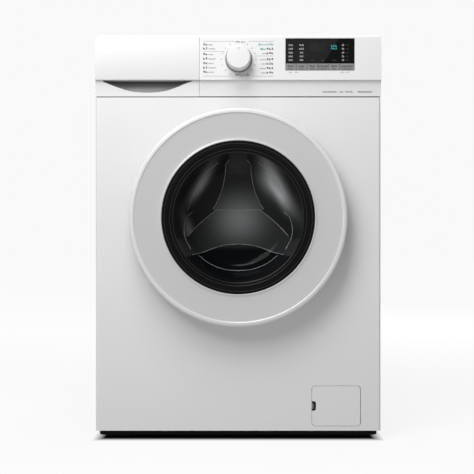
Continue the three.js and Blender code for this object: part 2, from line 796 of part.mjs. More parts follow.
const machine = new THREE.Group();
const aboutDrumAxis = new THREE.Group();
aboutDrumAxis.position.z = axisHeight;
machine.add(aboutDrumAxis);

machine.add(
  piece('right_side_panel', sidePanel(1), finishes.whiteEnamel),
  piece('left_side_panel', sidePanel(-1), finishes.whiteEnamel),
  piece('rear_panel', rearPanel(), finishes.whiteEnamel),
  piece('rear_service_cover', rearServiceCover(), finishes.whiteEnamel),
  piece('worktop', worktop(), finishes.whitePlastic),
  piece('front_panel', frontPanel(), finishes.whiteEnamel),
  piece('base_plinth', basePlinth(), finishes.blackPlastic),
  piece('control_fascia', controlFascia(), finishes.whitePlastic),
  piece('display_window', displayWindow(), finishes.blackGloss),
  piece('control_board', controlBoard(), finishes.circuitGreen),
  piece('program_knob', programKnob(), finishes.whitePlastic),
  piece('drawer_front', drawerFront(), finishes.whitePlastic),
  piece('drawer_tray', drawerTray(), finishes.greyPlastic),
  piece('dispenser_housing', dispenserHousing(), finishes.tubPlastic),
  piece('drain_pump', drainPump(), finishes.tubPlastic),
  piece('pump_filter', pumpFilter(), finishes.greyPlastic),
  piece('filter_flap', filterFlap(), finishes.whitePlastic),
  piece('inlet_valve', inletValve(), finishes.tubPlastic),
  piece('cable_gland', cableGland(), finishes.blackRubber),
  piece('sump_hose', hose([
    [20, 20, 179.4], [20, 20, 140], [40, -60, 92], [95, -150, 78], [125, -165, 78], [149, -165, 78],
  ], 14, 14), finishes.blackRubber),
);

aboutDrumAxis.add(
  piece('door_outer_frame', doorOuterFrame(), finishes.greyPlastic),
  piece('door_window_bezel', doorWindowBezel(), finishes.blackGloss),
  piece('door_glass', doorGlass(), finishes.darkGlass),
  piece('door_inner_frame', doorInnerFrame(), finishes.greyPlastic),
  piece('door_hinge_arm', doorHingeArm(), finishes.castAlloy),
  piece('door_hinge_bracket', doorHingeBracket(), finishes.zincSteel),
  piece('latch_hook', latchHook(), finishes.zincSteel),
  piece('door_lock', doorLock(), finishes.blackPlastic),
  piece('door_gasket', doorGasket(), finishes.greyRubber),
  piece('tub_front', tubFront(), finishes.tubPlastic),
  piece('tub_rear', tubRear(), finishes.tubPlastic),
  piece('upper_counterweight', counterweight(Math.PI * 0.16, Math.PI * 0.84), finishes.concrete),
  piece('lower_counterweight', counterweight(Math.PI * 1.16, Math.PI * 1.84), finishes.concrete),
  piece('heater', heater(), finishes.stainless),
  piece('motor', motor(), finishes.castAlloy),
  piece('motor_pulley', motorPulley(), finishes.zincSteel),
  piece('drive_belt', driveBelt(), finishes.blackRubber),
  piece('bearing_set', bearingSet(), finishes.stainless),
  piece('drum_shell', drumShell(), finishes.stainless),
  piece('drum_spider', drumSpider(), finishes.castAlloy),
  piece('drum_pulley', drumPulley(), finishes.castAlloy),
);

for (let i = 0; i < 3; i += 1) {
  const mesh = piece(`lifter_${i + 1}`, lifter(), finishes.whitePlastic);
  mesh.rotation.y = (i * Math.PI * 2) / 3;
  aboutDrumAxis.add(mesh);
}

for (let i = 0; i < keyCount; i += 1) machine.add(piece(`key_${i + 1}`, key(i), finishes.keyGrey));

for (const [side, x] of [['left', -1], ['right', 1]]) {
  const spring = piece(`${side}_spring`, tubSpring(), finishes.zincSteel);
  spring.position.set(x * springX, mountY, 0);
  const tube = piece(`${side}_damper_tube`, damperTube(), finishes.blackPlastic);
  tube.position.set(x * damperX, mountY, 0);
  const damper = piece(`${side}_damper_rod`, damperRod(), finishes.zincSteel);
  damper.position.set(x * damperX, mountY, 0);
  machine.add(spring, tube, damper);
  for (const [end, y] of [['front', footFrontY], ['rear', footRearY]]) {
    const foot = piece(`foot_${end}_${side}`, levellingFoot(), finishes.blackRubber);
    foot.position.set(x * footX, y, 0);
    machine.add(foot);
  }
}

export default machine;
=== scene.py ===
import math

import bmesh
import bpy
from mathutils import Matrix, Vector


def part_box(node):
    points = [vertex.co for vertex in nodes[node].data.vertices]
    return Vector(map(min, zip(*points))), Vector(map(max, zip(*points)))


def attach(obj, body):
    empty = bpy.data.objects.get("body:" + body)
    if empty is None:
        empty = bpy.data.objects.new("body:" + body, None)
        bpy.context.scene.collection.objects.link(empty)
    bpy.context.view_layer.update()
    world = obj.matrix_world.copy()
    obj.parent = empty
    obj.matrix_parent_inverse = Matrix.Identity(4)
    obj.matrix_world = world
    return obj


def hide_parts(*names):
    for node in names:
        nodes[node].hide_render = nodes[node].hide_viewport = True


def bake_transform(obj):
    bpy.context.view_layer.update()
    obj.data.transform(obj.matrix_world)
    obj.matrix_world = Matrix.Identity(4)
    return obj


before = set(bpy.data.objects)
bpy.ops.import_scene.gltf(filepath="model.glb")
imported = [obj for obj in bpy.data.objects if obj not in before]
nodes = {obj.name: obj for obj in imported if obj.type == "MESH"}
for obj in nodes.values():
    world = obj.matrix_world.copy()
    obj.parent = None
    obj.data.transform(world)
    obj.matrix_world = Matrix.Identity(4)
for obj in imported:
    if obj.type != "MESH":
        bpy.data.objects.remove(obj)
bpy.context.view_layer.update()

mm = 0.001
axisHeight = (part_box("drum_shell")[0].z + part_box("drum_shell")[1].z) / 2  # middle of the drum and door
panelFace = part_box("front_panel")[0].y
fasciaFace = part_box("display_window")[0].y
knobLow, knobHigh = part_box("program_knob")
knobX = (knobLow.x + knobHigh.x) / 2
knobZ = (knobLow.z + knobHigh.z) / 2


def newObject(name, vertices, faces):
    mesh = bpy.data.meshes.new(name)
    mesh.from_pydata([tuple(v) for v in vertices], [], faces)
    mesh.validate()
    piece = bpy.data.objects.new(name, mesh)
    bpy.context.scene.collection.objects.link(piece)
    return piece


def outward(piece):
    build = bmesh.new()
    build.from_mesh(piece.data)
    bmesh.ops.remove_doubles(build, verts=build.verts, dist=1e-6)
    bmesh.ops.recalc_face_normals(build, faces=build.faces)
    build.to_mesh(piece.data)
    build.free()


def smooth(piece, angle=32):
    piece.data.polygons.foreach_set("use_smooth", [True] * len(piece.data.polygons))
    piece.data.set_sharp_from_angle(angle=math.radians(angle))


def evenShading(piece):
    # large flat faces keep their own direction, so that small rounded edges do not tint them
    modifier = piece.modifiers.new("shading", "WEIGHTED_NORMAL")
    modifier.keep_sharp = True
    modifier.weight = 100
    return baked(piece)


def baked(piece):
    # the object with its modifiers turned into a plain mesh
    graph = bpy.context.evaluated_depsgraph_get()
    mesh = bpy.data.meshes.new_from_object(piece.evaluated_get(graph), depsgraph=graph)
    piece.modifiers.clear()
    piece.data = mesh
    return piece


def joined(name, pieces):
    build = bmesh.new()
    for piece in pieces:
        build.from_mesh(piece.data)
        bpy.data.objects.remove(piece)
    mesh = bpy.data.meshes.new(name)
    build.to_mesh(mesh)
    build.free()
    whole = bpy.data.objects.new(name, mesh)
    bpy.context.scene.collection.objects.link(whole)
    return whole


def cutWith(piece, tool, operation="DIFFERENCE"):
    modifier = piece.modifiers.new("cut", "BOOLEAN")
    modifier.operation = operation
    modifier.object = tool
    modifier.solver = "EXACT"
    baked(piece)
    bpy.data.objects.remove(tool)
    return piece


def wallOutline(line, thickness):
    points = [Vector(p) for p in line]
    last = len(points) - 1

    def across(a, b):
        along = (points[b] - points[a]).normalized()
        return Vector((-along.y, along.x))

    def offset(sign):
        found = []
        for i, point in enumerate(points):
            ahead = across(min(i, last - 1), min(i + 1, last))
            behind = across(max(i - 1, 0), max(i, 1))
            middle = (ahead + behind).normalized()
            reach = sign * thickness / 2 / middle.dot(ahead)
            found.append((point.x + middle.x * reach, point.y + middle.y * reach))
        return found

    return offset(1) + offset(-1)[::-1]


def softLine(line, rounds=2):
    # corner cutting: each round replaces a corner with two points
    points = [Vector(p) for p in line]
    for _ in range(rounds):
        cut = [points[0]]
        for a, b in zip(points, points[1:]):
            cut += [a.lerp(b, 0.25), a.lerp(b, 0.75)]
        points = cut + [points[-1]]
    return [tuple(p) for p in points]


def lathe(name, profile, segments=96, x=0.0, z=axisHeight, angle=32):
    # a closed profile of [radius, y] in millimetres, turned about a front-to-back line
    count = len(profile)
    vertices = []
    for step in range(segments):
        turn = 2 * math.pi * step / segments
        for radius, y in profile:
            vertices.append((
                x + max(radius, 0) * mm * math.sin(turn), y * mm, z + max(radius, 0) * mm * math.cos(turn)))
    faces = []
    for step in range(segments):
        here, there = step * count, (step + 1) % segments * count
        for i in range(count):
            j = (i + 1) % count
            faces.append((here + i, here + j, there + j, there + i))
    piece = newObject(name, vertices, faces)
    outward(piece)
    smooth(piece, angle)
    return piece


def upright(piece, x, y):
    # stands a lathe on its end: its y becomes the height
    piece.data.transform(Matrix.Translation((x, y, 0)) @ Matrix.Rotation(math.radians(90), 4, "X"))
    return piece


def sweep(name, path, radius, sides=10, closed=False):
    # a round bar along a path of points in metres; radius is a number or a function of the point's index
    points = [Vector(p) for p in path]
    count = len(points)
    vertices = []
    normal = None
    for i, point in enumerate(points):
        before = points[(i - 1) % count] if closed or i else point
        after = points[(i + 1) % count] if closed or i < count - 1 else point
        along = (after - before).normalized()
        if normal is None:
            normal = along.orthogonal().normalized()
        normal = (normal - along * normal.dot(along)).normalized()
        side = along.cross(normal)
        size = radius(i) if callable(radius) else radius
        for k in range(sides):
            turn = 2 * math.pi * k / sides
            vertices.append(point + (normal * math.cos(turn) + side * math.sin(turn)) * size)
    faces = []
    for i in range(count if closed else count - 1):
        here, there = i * sides, (i + 1) % count * sides
        for k in range(sides):
            n = (k + 1) % sides
            faces.append((here + k, here + n, there + n, there + k))
    if not closed:
        faces.append(tuple(reversed(range(sides))))
        faces.append(tuple(range((count - 1) * sides, count * sides)))
    piece = newObject(name, vertices, faces)
    outward(piece)
    smooth(piece, 50)
    return piece


def ringPath(radius, y, steps):
    # points of a circle about the door's axis, in metres
    turns = [2 * math.pi * i / steps for i in range(steps)]
    return [(radius * mm * math.sin(a), y * mm, axisHeight + radius * mm * math.cos(a)) for a in turns]


def throughPoints(points, steps=8):
    # a smooth line through given points
    knots = [Vector(p) for p in points]
    knots = [knots[0] * 2 - knots[1]] + knots + [knots[-1] * 2 - knots[-2]]
    line = []
    for a, b, c, d in zip(knots, knots[1:], knots[2:], knots[3:]):
        for s in range(steps):
            t = s / steps
            line.append(0.5 * (
                2 * b + (c - a) * t + (2 * a - 5 * b + 4 * c - d) * t * t
                + (3 * b - a - 3 * c + d) * t ** 3))
    return line + [knots[-2]]


boxFaces = ((0, 1, 2, 3), (7, 6, 5, 4), (0, 4, 5, 1), (1, 5, 6, 2), (2, 6, 7, 3), (3, 7, 4, 0))


def bars(name, boxes, front, depth):
    # flat marks: each box is x0, x1, z0, z1 in metres, standing from front to front + depth
    vertices, faces = [], []
    for x0, x1, z0, z1 in boxes:
        start = len(vertices)
        for y in (front, front + depth):
            vertices += [(x0, y, z0), (x1, y, z0), (x1, y, z1), (x0, y, z1)]
        faces += [tuple(start + k for k in face) for face in boxFaces]
    piece = newObject(name, vertices, faces)
    outward(piece)
    return piece


def loft(name, sections):
    # a closed bar through cross-sections, each a list of points with the same count
    count = len(sections[0])
    vertices = [point for section in sections for point in section]
    faces = []
    for i in range(len(sections) - 1):
        for k in range(count):
            n = (k + 1) % count
            faces.append((i * count + k, i * count + n, (i + 1) * count + n, (i + 1) * count + k))
    faces.append(tuple(range(count)))
    faces.append(tuple(reversed(range((len(sections) - 1) * count, len(sections) * count))))
    piece = newObject(name, vertices, faces)
    outward(piece)
    return piece


def softened(node, width=0.8, segments=2, angle=40, moves=()):
    # a CAD node's own shape with welded corners and rounded edges; moves shift rows of its corners first
    piece = bpy.data.objects.new(node + "_skin", nodes[node].data.copy())
    bpy.context.scene.collection.objects.link(piece)
    build = bmesh.new()
    build.from_mesh(piece.data)
    bmesh.ops.remove_doubles(build, verts=build.verts, dist=2e-6)
    bmesh.ops.dissolve_limit(
        build, angle_limit=math.radians(0.5), verts=build.verts, edges=build.edges)
    for corner in build.verts:
        for y, z, newY, newZ in moves:
            if abs(corner.co.z / mm - z) < 0.08 and (y is None or abs(corner.co.y / mm - y) < 0.08):
                corner.co.z = newZ * mm
                corner.co.y = corner.co.y if newY is None else newY * mm
                break
    build.to_mesh(piece.data)
    build.free()
    if width:
        bevel = piece.modifiers.new("edge", "BEVEL")
        bevel.width = width * mm
        bevel.segments = segments
        bevel.limit_method = "ANGLE"
        bevel.angle_limit = math.radians(angle)
        bevel.use_clamp_overlap = True
        baked(piece)
    smooth(piece, 28)
    return evenShading(piece)


def place(piece, body, material, slot, *replaced):
    piece.data.materials.clear()
    piece.data.materials.append(material)
    if body:
        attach(piece, body)
    if replaced:
        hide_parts(*replaced)
    return piece


def repeatTree(name, shape):
    # inputs: the marked places, the part's width, height and depth, its facets and its material
    tree = bpy.data.node_groups.new(name, "GeometryNodeTree")
    kinds = {"Places": "Geometry", "Width": "Float", "Height": "Float", "Depth": "Float", "Facets": "Int",
             "Material": "Material"}
    for label, kind in kinds.items():
        tree.interface.new_socket(label, in_out="INPUT", socket_type="NodeSocket" + kind)
    tree.interface.new_socket("Result", in_out="OUTPUT", socket_type="NodeSocketGeometry")
    add = tree.nodes.new
    link = tree.links.new
    start = add("NodeGroupInput")
    end = add("NodeGroupOutput")
    if shape == "block":
        part = add("GeometryNodeMeshCube")
        size = add("ShaderNodeCombineXYZ")
        for axis, label in zip("XYZ", ("Width", "Height", "Depth")):
            link(start.outputs[label], size.inputs[axis])
        link(size.outputs[0], part.inputs["Size"])
    else:
        part = add("GeometryNodeMeshCone")
        top = add("ShaderNodeMath")
        top.operation = "MULTIPLY"
        top.inputs[1].default_value = 0.82 if shape == "screw" else 1.0
        link(start.outputs["Width"], top.inputs[0])
        link(top.outputs[0], part.inputs["Radius Top"])
        link(start.outputs["Width"], part.inputs["Radius Bottom"])
        link(start.outputs["Depth"], part.inputs["Depth"])
        link(start.outputs["Facets"], part.inputs["Vertices"])
    body = part.outputs["Mesh"]
    if shape == "screw":
        recess = add("GeometryNodeMeshBoolean")
        recess.operation = "DIFFERENCE"
        link(body, recess.inputs["Mesh 1"])
        for size in ((4.2, 0.8, 3), (0.8, 4.2, 3)):  # the two strokes of the cross recess, in millimetres
            slot = add("GeometryNodeMeshCube")
            slot.inputs["Size"].default_value = [side * mm for side in size]
            lift = add("GeometryNodeTransform")
            lift.inputs["Translation"].default_value = (0, 0, 2.9 * mm)
            link(slot.outputs["Mesh"], lift.inputs["Geometry"])
            link(lift.outputs["Geometry"], recess.inputs["Mesh 2"])
        body = recess.outputs["Mesh"]
    facing = add("GeometryNodeInputNamedAttribute")
    facing.data_type = "FLOAT_VECTOR"
    facing.inputs["Name"].default_value = "facing"
    turn = add("FunctionNodeAlignRotationToVector")
    turn.axis = "Z"
    link(facing.outputs["Attribute"], turn.inputs["Vector"])
    copies = add("GeometryNodeInstanceOnPoints")
    link(start.outputs["Places"], copies.inputs["Points"])
    link(body, copies.inputs["Instance"])
    link(turn.outputs["Rotation"], copies.inputs["Rotation"])
    real = add("GeometryNodeRealizeInstances")
    link(copies.outputs["Instances"], real.inputs["Geometry"])
    paint = add("GeometryNodeSetMaterial")
    link(real.outputs["Geometry"], paint.inputs["Geometry"])
    link(start.outputs["Material"], paint.inputs["Material"])
    link(paint.outputs["Geometry"], end.inputs["Result"])
    return tree


repeatTrees = {shape: repeatTree("repeat_" + shape, shape) for shape in ("block", "disc", "screw")}


def repeated(name, places, shape, sizes, material):
    # places is a list of (point, direction the part faces); sizes are in millimetres
    carrier = newObject(name, [point for point, _ in places], [])
    attribute = carrier.data.attributes.new("facing", "FLOAT_VECTOR", "POINT")
    for value, (_, direction) in zip(attribute.data, places):
        value.vector = direction
    modifier = carrier.modifiers.new("repeat", "NODES")
    tree = repeatTrees[shape]
    modifier.node_group = tree
    values = {label: sizes.get(label, 1) * mm for label in ("Width", "Height", "Depth")}
    values["Facets"] = sizes.get("Facets", 12)
    values["Material"] = material
    for item in tree.interface.items_tree:
        if item.name in values and item.in_out == "INPUT":
            modifier[item.identifier] = values[item.name]
    baked(carrier)
    smooth(carrier, 35)
    return carrier


def surface(name, look):
    # a Principled finish whose colour, gloss and grain vary over the piece
    material = bpy.data.materials.new(name)
    material.use_nodes = True
    tree = material.node_tree
    shader = tree.nodes["Principled BSDF"]
    add = tree.nodes.new
    link = tree.links.new
    shader.inputs["Metallic"].default_value = look.get("metallic", 0)
    shader.inputs["IOR"].default_value = look.get("ior", 1.45)
    shader.inputs["Specular IOR Level"].default_value = look.get("specular", 0.5)
    shader.inputs["Coat Weight"].default_value = look.get("coat", 0)
    shader.inputs["Coat Roughness"].default_value = look.get("coatRough", 0.08)
    shader.inputs["Alpha"].default_value = look.get("alpha", 1)
    where = add("ShaderNodeTexCoord")
    spread = add("ShaderNodeMapping")
    spread.inputs["Scale"].default_value = look.get("stretch", (1, 1, 1))
    link(where.outputs["Object"], spread.inputs["Vector"])
    mottle = add("ShaderNodeTexNoise")
    mottle.inputs["Scale"].default_value = look.get("mottle", 9)
    mottle.inputs["Detail"].default_value = 4
    link(spread.outputs["Vector"], mottle.inputs["Vector"])
    grain = add("ShaderNodeTexNoise")
    grain.inputs["Scale"].default_value = look.get("grain", 900)
    grain.inputs["Detail"].default_value = 3
    link(spread.outputs["Vector"], grain.inputs["Vector"])
    tint = add("ShaderNodeValToRGB")
    color = look["color"]
    low = tuple(c * (1 - look.get("vary", 0.03)) for c in color)
    tint.color_ramp.elements[0].position = 0.3
    tint.color_ramp.elements[1].position = 0.7
    tint.color_ramp.elements[0].color = (*low, 1)
    tint.color_ramp.elements[1].color = (*color, 1)
    link(mottle.outputs["Fac"], tint.inputs["Fac"])
    base = tint.outputs["Color"]
    if "speckle" in look:
        fleck = add("ShaderNodeValToRGB")
        fleck.color_ramp.elements[0].position = 0.62
        fleck.color_ramp.elements[1].position = 0.68
        link(grain.outputs["Fac"], fleck.inputs["Fac"])
        blend = add("ShaderNodeMix")
        blend.data_type = "RGBA"
        blend.inputs["B"].default_value = (*look["speckle"], 1)
        link(fleck.outputs["Color"], blend.inputs["Factor"])
        link(base, blend.inputs["A"])
        base = blend.outputs["Result"]
    link(base, shader.inputs["Base Color"])
    gloss = add("ShaderNodeMapRange")
    gloss.inputs["To Min"].default_value = look["rough"] * 0.85
    gloss.inputs["To Max"].default_value = look["rough"] * 1.15
    link(mottle.outputs["Fac"], gloss.inputs["Value"])
    link(gloss.outputs["Result"], shader.inputs["Roughness"])
    relief = add("ShaderNodeBump")
    relief.inputs["Strength"].default_value = look.get("relief", 0.12)
    relief.inputs["Distance"].default_value = look.get("reliefDepth", 0.05) * mm
    link(grain.outputs["Fac"], relief.inputs["Height"])
    link(relief.outputs["Normal"], shader.inputs["Normal"])
    return material


def banded(name, look, radii, colors):
    # the same finish with rings of colour about the door's axis; on the door ring a lighter band on the
    # rounded outer rim is a painted highlight
    material = surface(name, look)
    tree = material.node_tree
    shader = tree.nodes["Principled BSDF"]
    add = tree.nodes.new
    link = tree.links.new
    where = add("ShaderNodeTexCoord")
    centre = add("ShaderNodeMapping")
    centre.inputs["Location"].default_value = (0, 0, -axisHeight)
    link(where.outputs["Object"], centre.inputs["Vector"])
    flat = add("ShaderNodeVectorMath")
    flat.operation = "MULTIPLY"
    flat.inputs[1].default_value = (1, 0, 1)
    link(centre.outputs["Vector"], flat.inputs[0])
    radius = add("ShaderNodeVectorMath")
    radius.operation = "LENGTH"
    link(flat.outputs["Vector"], radius.inputs[0])
    ramp = add("ShaderNodeValToRGB")
    span = 0.25  # distance from the axis that the whole ramp covers, in metres
    while len(ramp.color_ramp.elements) < len(radii):
        ramp.color_ramp.elements.new(0.5)
    scale = add("ShaderNodeMath")
    scale.operation = "DIVIDE"
    scale.inputs[1].default_value = span
    link(radius.outputs["Value"], scale.inputs[0])
    for element, r, color in zip(ramp.color_ramp.elements, radii, colors):
        element.position = r * mm / span
        element.color = (*color, 1)
    link(scale.outputs["Value"], ramp.inputs["Fac"])
    tint = [n for n in tree.nodes if n.bl_idname == "ShaderNodeValToRGB"][0]
    blend = add("ShaderNodeMix")
    blend.data_type = "RGBA"
    blend.blend_type = "MULTIPLY"
    blend.inputs["Factor"].default_value = 1
    link(tint.outputs["Color"], blend.inputs["A"])
    link(ramp.outputs["Color"], blend.inputs["B"])
    link(blend.outputs["Result"], shader.inputs["Base Color"])
    return material


def paintedLightFinish(material, dark, pale):
    # the attribute read here runs the finish from its dark to its pale colour, to paint glow, highlights and
    # reflections onto the glass
    tree = material.node_tree
    shader = tree.nodes["Principled BSDF"]
    amount = tree.nodes.new("ShaderNodeAttribute")
    amount.attribute_name = "paintedLight"
    ramp = tree.nodes.new("ShaderNodeValToRGB")
    ramp.color_ramp.elements[0].color = (*dark, 1)
    ramp.color_ramp.elements[1].color = (*pale, 1)
    tree.links.new(amount.outputs["Fac"], ramp.inputs["Fac"])
    tree.links.new(ramp.outputs["Color"], shader.inputs["Base Color"])
    return material


def glowing(name, color, strength):
    material = surface(name, {"color": color, "rough": 0.4, "vary": 0.15, "mottle": 60})
    shader = material.node_tree.nodes["Principled BSDF"]
    shader.inputs["Emission Color"].default_value = (*color, 1)
    shader.inputs["Emission Strength"].default_value = strength
    return material


def grey(value, warm=0.0):
    return (value + warm, value, value - warm)


paint = {
    "enamel": surface("white_enamel_paint", {
        "color": grey(0.68), "rough": 0.3, "vary": 0.015, "grain": 420, "relief": 0.06, "coat": 0.25}),
    "plastic": surface("white_moulded_plastic", {
        "color": grey(0.68), "rough": 0.33, "vary": 0.012, "grain": 1500, "relief": 0.08}),
    "laminate": surface("white_laminate", {
        "color": grey(0.68), "rough": 0.42, "vary": 0.02, "grain": 1100, "relief": 0.2,
        "speckle": grey(0.74)}),
    # the lighter band from 214.6 mm out is a painted highlight on the ring's rounded outer rim
    "ring": banded("ring_satin_plastic", {
        "color": grey(1.0), "rough": 0.3, "vary": 0.015, "grain": 1800, "relief": 0.06, "coat": 0.2},
        (158, 160.5, 163, 213.2, 214.6, 225),
        (grey(0.5), grey(0.5), grey(0.5), grey(0.51), grey(0.62), grey(0.66))),
    # dark grey for the sheet laid on the scoop's wall: painted shade in the recess
    "scoop": surface("scoop_painted_shade", {
        "color": grey(0.065), "rough": 0.4, "vary": 0.05, "grain": 1500}),
    # dark grey ring round the knob: partly the skirt's own grey, partly painted shade round the knob
    "skirt": surface("knob_skirt_grey_and_shade", {
        "color": grey(0.2), "rough": 0.3, "vary": 0.04, "grain": 1500}),
    "keys": surface("key_grey_plastic", {
        "color": grey(0.21), "rough": 0.42, "vary": 0.03, "grain": 2000, "relief": 0.1}),
    "tray": surface("tray_grey_plastic", {
        "color": grey(0.55), "rough": 0.45, "vary": 0.03, "grain": 1300}),
    "acrylic": surface("black_acrylic", {
        "color": grey(0.006), "rough": 0.05, "vary": 0.1, "grain": 300, "relief": 0.02, "specular": 0.07}),
    "gloss": surface("black_gloss_plastic", {
        "color": grey(0.006), "rough": 0.16, "vary": 0.1, "grain": 1500, "relief": 0.03, "specular": 0.1}),
    # smoked glass; its pale colour comes in only where glow, highlights and reflections are painted on
    "glass": paintedLightFinish(surface("smoked_glass", {
        "color": (0.006, 0.0065, 0.007), "rough": 0.12, "vary": 0.1, "grain": 60, "relief": 0.0,
        "specular": 0.06, "alpha": 0.97}), (0.003, 0.0035, 0.004), (0.58, 0.59, 0.60)),
    # lighter grey for the moulded lines on the glass: painted highlights along them
    "glassLineHighlight": surface("glass_line_painted_highlight", {
        "color": (0.3, 0.305, 0.31), "rough": 0.3, "vary": 0.1, "grain": 200, "relief": 0.02}),
    # the thin rings on the bezel's steps: raised beads, lighter than the black bezel as painted highlights
    "bead": surface("bezel_bead_painted_highlight", {
        "color": grey(0.045), "rough": 0.3, "vary": 0.2, "grain": 600}),
    "blackPlastic": surface("black_base_plastic", {
        "color": grey(0.006), "rough": 0.6, "vary": 0.25, "grain": 900, "relief": 0.3, "specular": 0.1}),
    "greyRubber": surface("grey_rubber", {
        "color": grey(0.13), "rough": 0.68, "vary": 0.12, "grain": 700, "relief": 0.25}),
    "blackRubber": surface("black_rubber", {
        "color": grey(0.008), "rough": 0.72, "vary": 0.2, "grain": 800, "relief": 0.4, "specular": 0.1}),
    "tub": surface("filled_tub_plastic", {
        "color": grey(0.42), "rough": 0.6, "vary": 0.08, "grain": 500, "relief": 0.3, "speckle": grey(0.36)}),
    "steel": surface("stainless_steel", {
        "color": grey(0.62), "rough": 0.27, "vary": 0.06, "metallic": 1, "grain": 240, "relief": 0.12,
        "stretch": (1, 14, 1)}),
    "zinc": surface("zinc_plated_steel", {
        "color": (0.5, 0.52, 0.54), "rough": 0.4, "vary": 0.2, "metallic": 1, "mottle": 90, "grain": 600}),
    "alloy": surface("cast_aluminium", {
        "color": grey(0.45), "rough": 0.5, "vary": 0.12, "metallic": 1, "grain": 700, "relief": 0.5,
        "reliefDepth": 0.2}),
    "concrete": surface("cast_concrete", {
        "color": (0.30, 0.29, 0.27), "rough": 0.9, "vary": 0.3, "mottle": 30, "grain": 500, "relief": 0.8,
        "reliefDepth": 0.6, "speckle": (0.16, 0.155, 0.15)}),
    "board": surface("circuit_board_lacquer", {
        "color": (0.02, 0.13, 0.06), "rough": 0.35, "vary": 0.3, "mottle": 160, "grain": 900}),
    "ink": surface("grey_printing_ink", {
        "color": grey(0.02), "rough": 0.6, "vary": 0.25, "mottle": 300, "grain": 2500}),
    "paleInk": surface("pale_printing_ink", {
        "color": grey(0.24), "rough": 0.6, "vary": 0.2, "mottle": 300, "grain": 2500}),
    "tealInk": surface("teal_printing_ink", {
        "color": (0.10, 0.48, 0.48), "rough": 0.55, "vary": 0.2, "mottle": 300, "grain": 2500}),
    # dark for the drum's holes, and painted shade behind the flap's notch and in the seam under the fascia
    "hole": surface("dark_hole_and_painted_shade", {"color": grey(0.01), "rough": 0.8, "vary": 0.4, "mottle": 300}),
    "lamp": glowing("display_marks", grey(0.42), 0.28),
    "dimLamp": glowing("display_marks_dim", grey(0.045), 0.02),
    "tealLamp": glowing("display_teal", (0.03, 0.35, 0.36), 0.35),
    "digits": surface("display_digit_window", {
        "color": grey(0.02), "rough": 0.12, "vary": 0.3, "mottle": 60, "specular": 0.3}),
    # a little lighter than the black acrylic: a painted reflection on part of the display
    "glare": surface("display_painted_glare", {
        "color": grey(0.0135), "rough": 0.09, "vary": 0.15, "mottle": 25, "specular": 0.3}),
}
print("materials made")

cabinetLook = {  # in millimetres
    "sheet": 1.2,
    "fieldInset": 46,  # margin of the pressed field on a side panel
    "fieldDepth": 3.2,
    "fieldSlope": 14,
    "fieldCorner": 60,
    "swages": (0.36, 0.64),  # their heights, as shares of the panel's height
    "swageHalfHeight": 26,
    "columns": 56,
    "rows": 84,
    "frontFold": 16,
    "rearFold": 18,
    "fasciaNotch": (-204.6, 717),  # the sides leave this corner to the fascia: its back and its bottom
    "mouthRadius": 177.4,
    "lipRadius": 176.9,
}


def pressedDepth(u, v, width, height):
    # how far the sheet is pressed in at a place on a side panel, in millimetres
    inset, slope, corner = cabinetLook["fieldInset"], cabinetLook["fieldSlope"], cabinetLook["fieldCorner"]
    cx, cy = abs(u - width / 2), abs(v - height / 2)
    halfU, halfV = width / 2 - inset, height / 2 - inset
    dx, dy = max(cx - (halfU - corner), 0), max(cy - (halfV - corner), 0)
    outside = math.hypot(dx, dy) - corner
    field = min(max(-outside / slope, 0), 1)
    depth = field * field * (3 - 2 * field) * cabinetLook["fieldDepth"]
    # two raised swages cross the field, to stiffen it
    for share in cabinetLook["swages"]:
        away = abs(v - height * share)
        swage = min(max((cabinetLook["swageHalfHeight"] - away) / 12, 0), 1)
        swage *= min(max((halfU - 40 - cx) / 12, 0), 1)
        depth -= swage * swage * (3 - 2 * swage) * cabinetLook["fieldDepth"] * 0.8
    return max(depth, 0)


